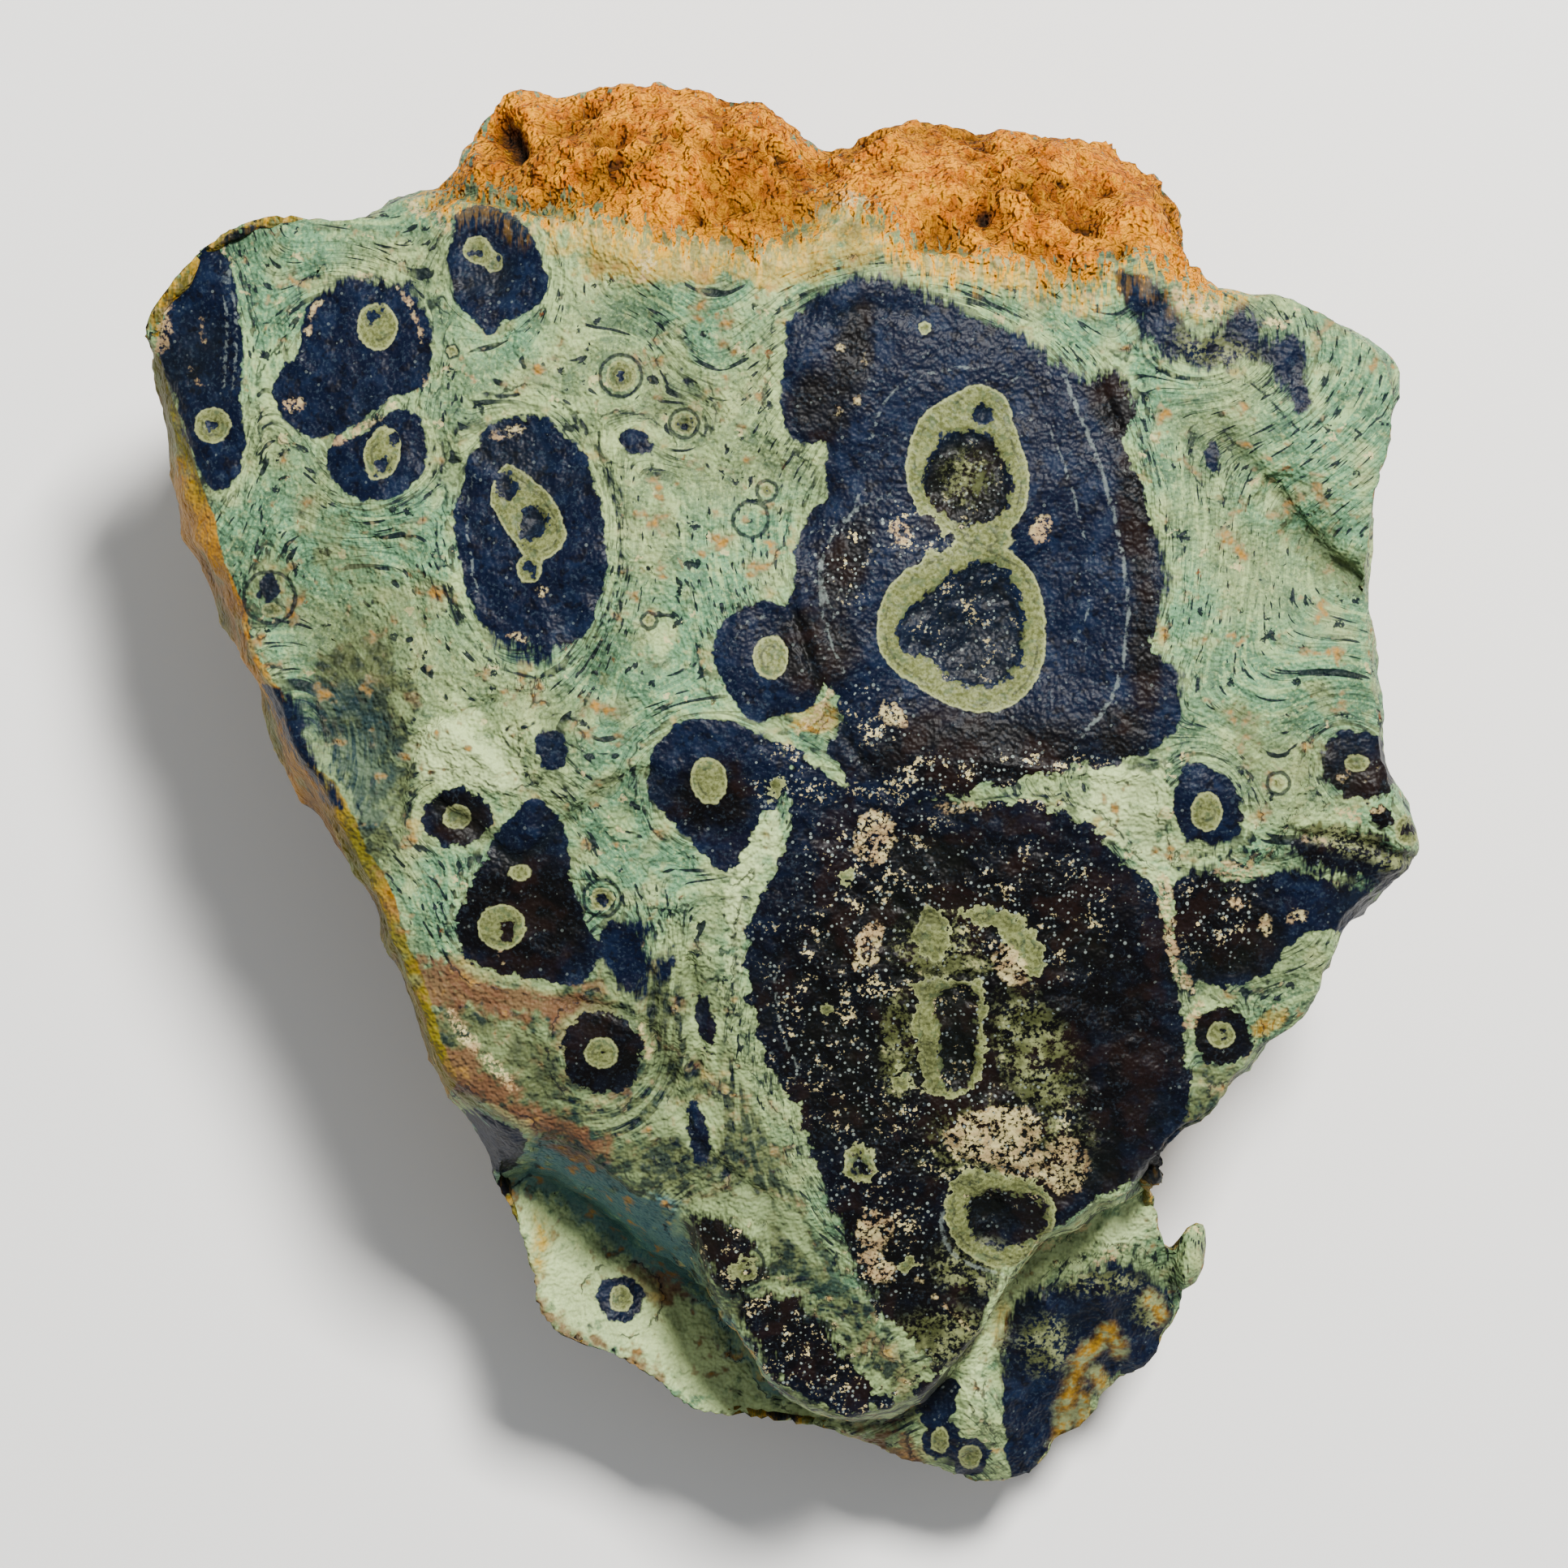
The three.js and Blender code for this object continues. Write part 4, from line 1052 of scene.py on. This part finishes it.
def zone_colour(s, n, colour):
    """The stained and paler places over the ground, with their painted shade and painted light."""
    spread = (n["patch"] - 0.5) * 2.4 + (n["wander"] - 0.5) * 1.4 + (n["middle"] - 0.5) * 1.2
    for name, (paint, most) in ZONE_PAINTS.items():
        share = s.step(s.field(name) + spread, 0.25, 0.8)
        colour = s.mix(share * most, colour, paint)
    return colour


def side_colour(s, n):
    """The stained side walls, from ochre to olive."""
    ochre = s.step(n["broad"], 0.42, 0.58) * s.field("ochre")
    colour = s.mix(ochre, SIDE_OLIVE, SIDE_OCHRE)
    colour = s.mix(s.step(n["patch"], 0.54, 0.66) * 0.45, colour, SIDE_PINK)
    colour = s.mix(s.step(n["middle"], 0.56, 0.66) * 0.45, colour, SAGE)
    return s.mix(s.step(n["wander"], 0.58, 0.7) * 0.5, colour, FIBRE)


def orange_colour(s, n, relief, streak):
    """The weathered rind, burnt in its hollows: darker there partly as painted shade, and black in the
    deepest pits as painted shade.
    """
    colour = s.mix(s.step(n["patch"] * 0.5 + streak * 0.5, 0.42, 0.57), DEEP_ORANGE, s.settings.rind)
    colour = s.mix(s.step(n["wander"] * 0.6 + streak * 0.4, 0.57, 0.68) * 0.55, colour, RIND_YELLOW)
    colour = s.mix(s.step(n["grit"], 0.62, 0.72) * 0.12, colour, CREAM)
    colour = s.mix((1.0 - s.step(n["grit"], 0.3, 0.4)) * 0.4, colour, BURNT)
    # Burnt brown in the low places: partly the rind's oxide, partly painted shade
    low = 1.0 - s.step(relief + (n["wander"] - 0.5) * 1.2, -1.7, -0.8)
    colour = s.mix(low * 0.9, colour, BURNT)
    # Painted shade: black in the deepest pits
    deep = 1.0 - s.step(relief + (n["grit"] - 0.5) * 0.8, -2.3, -1.6)
    return s.mix(deep * 0.85, colour, BLACK)


def body_colour(s, n, warm):
    """The dark bodies, navy to brownish black, with pale specks."""
    colour = s.mix(warm, s.settings.orbs, BLACK)
    lighter = s.step(n["patch"], 0.46, 0.66) * (1.0 - warm * 0.8)
    colour = s.mix(lighter * 0.5, colour, NAVY_LIGHT)
    dusty = s.step(n["grit"] * 0.75 + n["wander"] * 0.25, 0.52, 0.66)
    colour = s.mix(dusty * (0.42 - warm * 0.2), colour, DUST)
    colour = s.mix((1.0 - s.step(n["wander"], 0.34, 0.46)) * 0.6, colour, BLACK)
    colour = s.mix(s.step(n["middle"], 0.5, 0.62) * warm * 0.5, colour, RED_BROWN)
    thick = s.field("speckled")
    crowd = s.step(n["patch"] * 0.6 + n["wander"] * 0.4 + thick * 0.06, 0.56, 0.68) * thick
    dots, kinds = s.grains(0.42, s.moved(6, 6, 66))
    few = s.step(kinds + thick * 0.3, 0.92, 0.95) * (0.2 + 0.4 * thick)
    colour = s.mix(dots * few.above(crowd * s.step(kinds, 0.35, 0.45) * 0.85), colour, SPECK_WHITE)
    tan = s.step(n["grit"] + crowd * 0.14, 0.64, 0.7) * crowd
    colour = s.mix(tan * 0.9, colour, CREAM)
    mist = s.field("mist")
    cloud = s.step(n["grit"] * 0.5 + n["wander"] * 0.5 + mist * 0.06, 0.5, 0.62) * mist
    return s.mix(cloud * 0.7, colour, s.mix(s.step(n["patch"], 0.4, 0.6), EYE_OLIVE, EYE_RIM))


def eye_colour(s, n, eye):
    """An eye: a pale rim round an olive middle."""
    colour = s.mix(s.step(n["grit"], 0.35, 0.65) * 0.75, s.settings.eyes, EYE_RIM)
    colour = s.mix((1.0 - s.step(n["wander"], 0.36, 0.46)) * 0.6, colour, DEEP_GREEN)
    colour = s.mix(s.step(eye, 0.2, 0.6) * 0.35, colour, s.settings.eyes)
    rim = 1.0 - s.step(abs(eye - 0.08), 0.06, 0.2)
    colour = s.mix(rim * 0.75, colour, EYE_RIM)
    inner = 1.0 - s.step(abs(eye - 0.78), 0.06, 0.16)
    return s.mix(inner * s.step(n["patch"], 0.47, 0.55) * 0.5, colour, FIBRE)


def with_lines(s, n, colour, edge, dark):
    """The ground with the lines round the orbs, and with the stained side walls."""
    rim_light = s.step(dark, -1.3, -0.5)
    colour = s.mix(rim_light * s.step(n["middle"], 0.35, 0.6) * 0.4, colour, PALE)
    outline = 1.0 - s.step(abs(dark + 1.35 + (n["middle"] - 0.5) * 1.4), 0.05, 0.17)
    colour = s.mix(outline * s.step(n["patch"], 0.46, 0.56) * 0.75, colour, FIBRE)
    side = s.step(s.field("side") + (n["patch"] - 0.5) * 1.2 + (n["wander"] - 0.5), 0.4, 0.7)
    colour = s.mix(side * 0.9, colour, side_colour(s, n))
    line = s.step(s.field("line") + edge * 0.22, -0.1, 0.1)
    colour = s.mix(line * s.step(n["patch"], 0.34, 0.46) * 0.95, colour, FIBRE)
    loop = 1.0 - s.step(abs(s.field("ring") + edge * 0.3 - 0.16), 0.1, 0.26)
    return s.mix(loop * 0.85, colour, FIBRE)


def with_rind(s, n, colour, relief, streak, in_body):
    """The stone with its rind and the fringe below it, and the share that is rind."""
    orange = s.field("orange") + (n["patch"] - 0.5) * 5.0 + (n["wander"] - 0.5) * 3.0 + (streak - 0.5) * 11.0
    fringe = s.step(orange, -4.2, -0.4) * s.step(s.field("orange"), -4.3, -2.6)
    fringe_paint = s.mix(s.step(streak, 0.44, 0.56), DEEP_GREEN, RIND_YELLOW)
    fringe_paint = s.mix(s.step(n["wander"], 0.45, 0.62) * 0.45, fringe_paint, CREAM)
    colour = s.mix(fringe * (0.68 - in_body * 0.55), colour, fringe_paint)
    in_rind = s.step(orange, -0.3, 0.5)
    return s.mix(in_rind, colour, orange_colour(s, n, relief, streak)), in_rind


def with_stains(s, n, colour, edge):
    """The stone with its gold streaks and crumbly cream patches."""
    gold = s.field("gold") + edge * 1.5 + (n["patch"] - 0.5) * 2.0
    gold_paint = s.mix(s.step(n["wander"], 0.42, 0.6), GOLD, EYE_RIM)
    colour = s.mix(s.step(gold, -0.8, 0.8) * 0.8, colour, gold_paint)
    cream = s.field("cream") + edge * 1.6
    crumbs = s.step(n["grit"] * 0.6 + n["wander"] * 0.4, 0.44, 0.55)
    cream_paint = s.mix(s.step(n["patch"], 0.42, 0.58), CREAM, CREAM_PINK)
    return s.mix(s.step(cream, -0.1, 0.35) * crumbs * 0.82, colour, cream_paint)


def stone_material(settings):
    """The stone's finish: ground, lines, orbs, rind and stains, one over the other, with painted shade in the
    low places of the relief.
    """
    s = Shader("kambaba_jasper", settings)
    n = shared_noises(s)
    relief = s.field("relief")
    warm = s.field("warm")
    edge = (n["wander"] - 0.5) * 1.1 + (n["grit"] - 0.5) * 0.35
    torn = s.field("speckled")
    loose = edge * (0.8 + warm * 1.2) + (n["patch"] - 0.5) * (1.2 + torn * 3.6)
    streaks = s.add("ShaderNodeVectorMath", {"operation": "MULTIPLY"}, {0: s.place, 1: STREAK_SCALE})
    streak = s.noise(1.0, 2.0, 0.7, streaks)
    fuzzy = s.field("fuzzy")
    dark = s.field("dark") + loose + (streak - 0.5) * fuzzy * 4.0
    eye = s.field("eye") + edge * (0.55 + torn * 1.6) + (n["patch"] - 0.5) * torn * 2.6
    core = s.field("core") + edge * 2.2 + (n["patch"] - 0.5) * 1.6

    colour = ground_colour(s, n, s.field("flow"), s.field("dark"))
    colour = zone_colour(s, n, colour)
    colour = with_lines(s, n, colour, edge, dark)
    body = body_colour(s, n, warm)
    in_body = s.step(dark, fuzzy * -0.5 - 0.06, fuzzy * 0.7 + 0.16)
    colour = s.mix(in_body, colour, body)
    arc = s.step(s.field("arc") + (n["grit"] - 0.5) * 0.4, -0.06, 0.12)
    colour = s.mix(arc * 0.3, colour, SPECK_WHITE)
    colour = s.mix(s.step(eye, -0.04, 0.1), colour, eye_colour(s, n, eye))
    colour = s.mix(s.step(core, -0.08, 0.14), colour, body)
    colour, in_rind = with_rind(s, n, colour, relief, streak, in_body)
    colour = with_stains(s, n, colour, edge)
    # Painted shade: the low places of the relief, hollows and crevices, darken towards SHADE
    hollow = 1.0 - s.step(relief + (n["grit"] - 0.5) * 0.5, -0.75, 0.05)
    colour = s.mix(hollow * 0.5, colour, SHADE)
    s.feed(s.surface.inputs["Base Color"], colour)

    rough = STONE_ROUGH - in_body * 0.1 + in_rind * 0.26 + (n["patch"] - 0.5) * 0.16
    s.feed(s.surface.inputs["Roughness"], rough)
    s.surface.inputs["Specular IOR Level"].default_value = SPECULAR
    height = s.noise(0.7, 1.0, 0.74, s.moved(17, 70, 7))
    depth = STONE_BUMP - in_body * 0.0003 + in_rind * 0.0016
    bump = s.add("ShaderNodeBump", {}, {"Strength": 1.0, "Distance": depth, "Height": height}, "Normal")
    s.feed(s.surface.inputs["Normal"], bump)
    return s.material


def floor_material(colour):
    """A plain matt paper for the floor."""
    material = bpy.data.materials.new("floor_paper")
    material.use_nodes = True
    surface = material.node_tree.nodes["Principled BSDF"]
    surface.inputs["Base Color"].default_value = colour
    surface.inputs["Roughness"].default_value = 0.9
    return material


# The stage, in metres
FLOOR_DROP = 0.0002  # the floor lies this far under the stone
KEY_PLACE = (0.21, 0.37, 0.70)
KEY_COLOUR = (1.0, 0.975, 0.93)
SKY_COLOUR = (0.93, 0.96, 1.0, 1.0)
SENSOR_MM = 36.0
NEAREST = 0.01  # nothing nearer to the camera is drawn


# The add-on


class JasperSettings(bpy.types.PropertyGroup):
    """What a user would change about the stone and its stage."""

    ground: FloatVectorProperty(name="Ground", description="Commonest green of the ground", size=4,
                                default=SAGE, subtype="COLOR", min=0.0, max=1.0)
    mint: FloatVectorProperty(name="Cool ground", description="Bluer green of the ground", size=4,
                              default=MINT, subtype="COLOR", min=0.0, max=1.0)
    orbs: FloatVectorProperty(name="Orbs", description="Colour of the dark orbs", size=4,
                              default=NAVY, subtype="COLOR", min=0.0, max=1.0)
    eyes: FloatVectorProperty(name="Eyes", description="Colour of the eyes' middles", size=4,
                              default=EYE_OLIVE, subtype="COLOR", min=0.0, max=1.0)
    rind: FloatVectorProperty(name="Rind", description="Brightest colour of the weathered rind", size=4,
                              default=BRIGHT_ORANGE, subtype="COLOR", min=0.0, max=1.0)
    relief: FloatProperty(name="Relief", description="Strength of the fine relief of the broken surface",
                          default=1.0, min=0.0, max=1.5)
    face_edge: FloatProperty(name="Face edge", description="Longest edge of the face's triangles",
                             default=0.00092, min=0.0005, unit="LENGTH", precision=5)
    floor_width: FloatProperty(name="Floor width", description="Side of the square floor", default=3.0,
                               unit="LENGTH")
    floor_colour: FloatVectorProperty(name="Floor colour", description="Colour of the floor", size=4,
                                      default=(0.93, 0.93, 0.92, 1.0), subtype="COLOR")
    key_power: FloatProperty(name="Key light", description="Power of the light beyond the rind", default=16.5,
                             unit="POWER")
    key_size: FloatProperty(name="Key width", description="Side of the light beyond the rind", default=0.16,
                            unit="LENGTH")
    sky: FloatProperty(name="Sky", description="Strength of the even light all round", default=0.38)


class BuildStone(bpy.types.Operator):
    """Builds the stone's fine surface and its orbs."""

    bl_idname = "jasper.build_stone"
    bl_label = "Build stone"

    def execute(self, context):
        settings = context.scene.jasper
        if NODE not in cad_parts:
            raise RuntimeError(f"The frame has no node {NODE}")
        data, relief = stone_mesh(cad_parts[NODE].data, settings)
        paint_fields(data, relief)
        stone = bpy.data.objects.new("jasper_stone", data)
        context.scene.collection.objects.link(stone)
        data.materials.append(stone_material(settings))
        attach(stone, "root")
        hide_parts(NODE)
        return {"FINISHED"}


class BuildStage(bpy.types.Operator):
    """Sets up the floor, the lights and the camera."""

    bl_idname = "jasper.build_stage"
    bl_label = "Build stage"

    def execute(self, context):
        settings = context.scene.jasper
        scene = context.scene
        bpy.ops.mesh.primitive_plane_add(size=settings.floor_width, location=(0.0, 0.0, -FLOOR_DROP))
        floor = context.object
        floor.name = "floor"
        floor.data.materials.append(floor_material(settings.floor_colour))
        add_key_light(scene, settings)
        add_sky(scene, settings.sky)
        add_camera(scene)
        return {"FINISHED"}


def add_key_light(scene, settings):
    """A soft lamp high up beyond the rind."""
    lamp = bpy.data.lights.new("key", "AREA")
    lamp.energy = settings.key_power
    lamp.size = settings.key_size
    lamp.color = KEY_COLOUR
    key = bpy.data.objects.new("key", lamp)
    key.location = KEY_PLACE
    middle = (Vector(CAD_BOX[0]) + Vector(CAD_BOX[1])) / 2.0
    key.rotation_euler = (key.location - middle).to_track_quat("Z", "Y").to_euler()
    scene.collection.objects.link(key)


def add_sky(scene, strength):
    """Even pale light from all round."""
    world = bpy.data.worlds.new("sky")
    world.use_nodes = True
    background = world.node_tree.nodes["Background"]
    background.inputs["Color"].default_value = SKY_COLOUR
    background.inputs["Strength"].default_value = strength
    scene.world = world


def add_camera(scene):
    """A camera that looks straight down on the face."""
    lens = bpy.data.cameras.new("camera")
    lens.sensor_width = SENSOR_MM
    lens.lens = SENSOR_MM * EYE_MM / (FRAME_PX * PX_MM)
    lens.clip_start = NEAREST
    camera = bpy.data.objects.new("camera", lens)
    camera.location = (AXIS_MM[0] * MM, AXIS_MM[1] * MM, (FACE_MM + EYE_MM) * MM)
    scene.collection.objects.link(camera)
    scene.camera = camera


class JasperPanel(bpy.types.Panel):
    """Lists the steps in the sidebar."""

    bl_idname = "VIEW3D_PT_jasper"
    bl_label = "Kambaba jasper"
    bl_space_type = "VIEW_3D"
    bl_region_type = "UI"
    bl_category = "Jasper"

    def draw(self, context):
        layout = self.layout
        for name in JasperSettings.__annotations__:
            layout.prop(context.scene.jasper, name)
        for operator in OPERATORS:
            layout.operator(operator.bl_idname)


OPERATORS = (BuildStone, BuildStage)
CLASSES = (JasperSettings, *OPERATORS, JasperPanel)


def register():
    """Adds the classes and the scene's settings."""
    for part in CLASSES:
        bpy.utils.register_class(part)
    bpy.types.Scene.jasper = PointerProperty(type=JasperSettings)


def unregister():
    """Takes them away again."""
    del bpy.types.Scene.jasper
    for part in reversed(CLASSES):
        bpy.utils.unregister_class(part)


def main():
    """Builds the stone and its stage."""
    register()
    bpy.ops.jasper.build_stone()
    bpy.ops.jasper.build_stage()


if __name__ == "__main__":
    main()
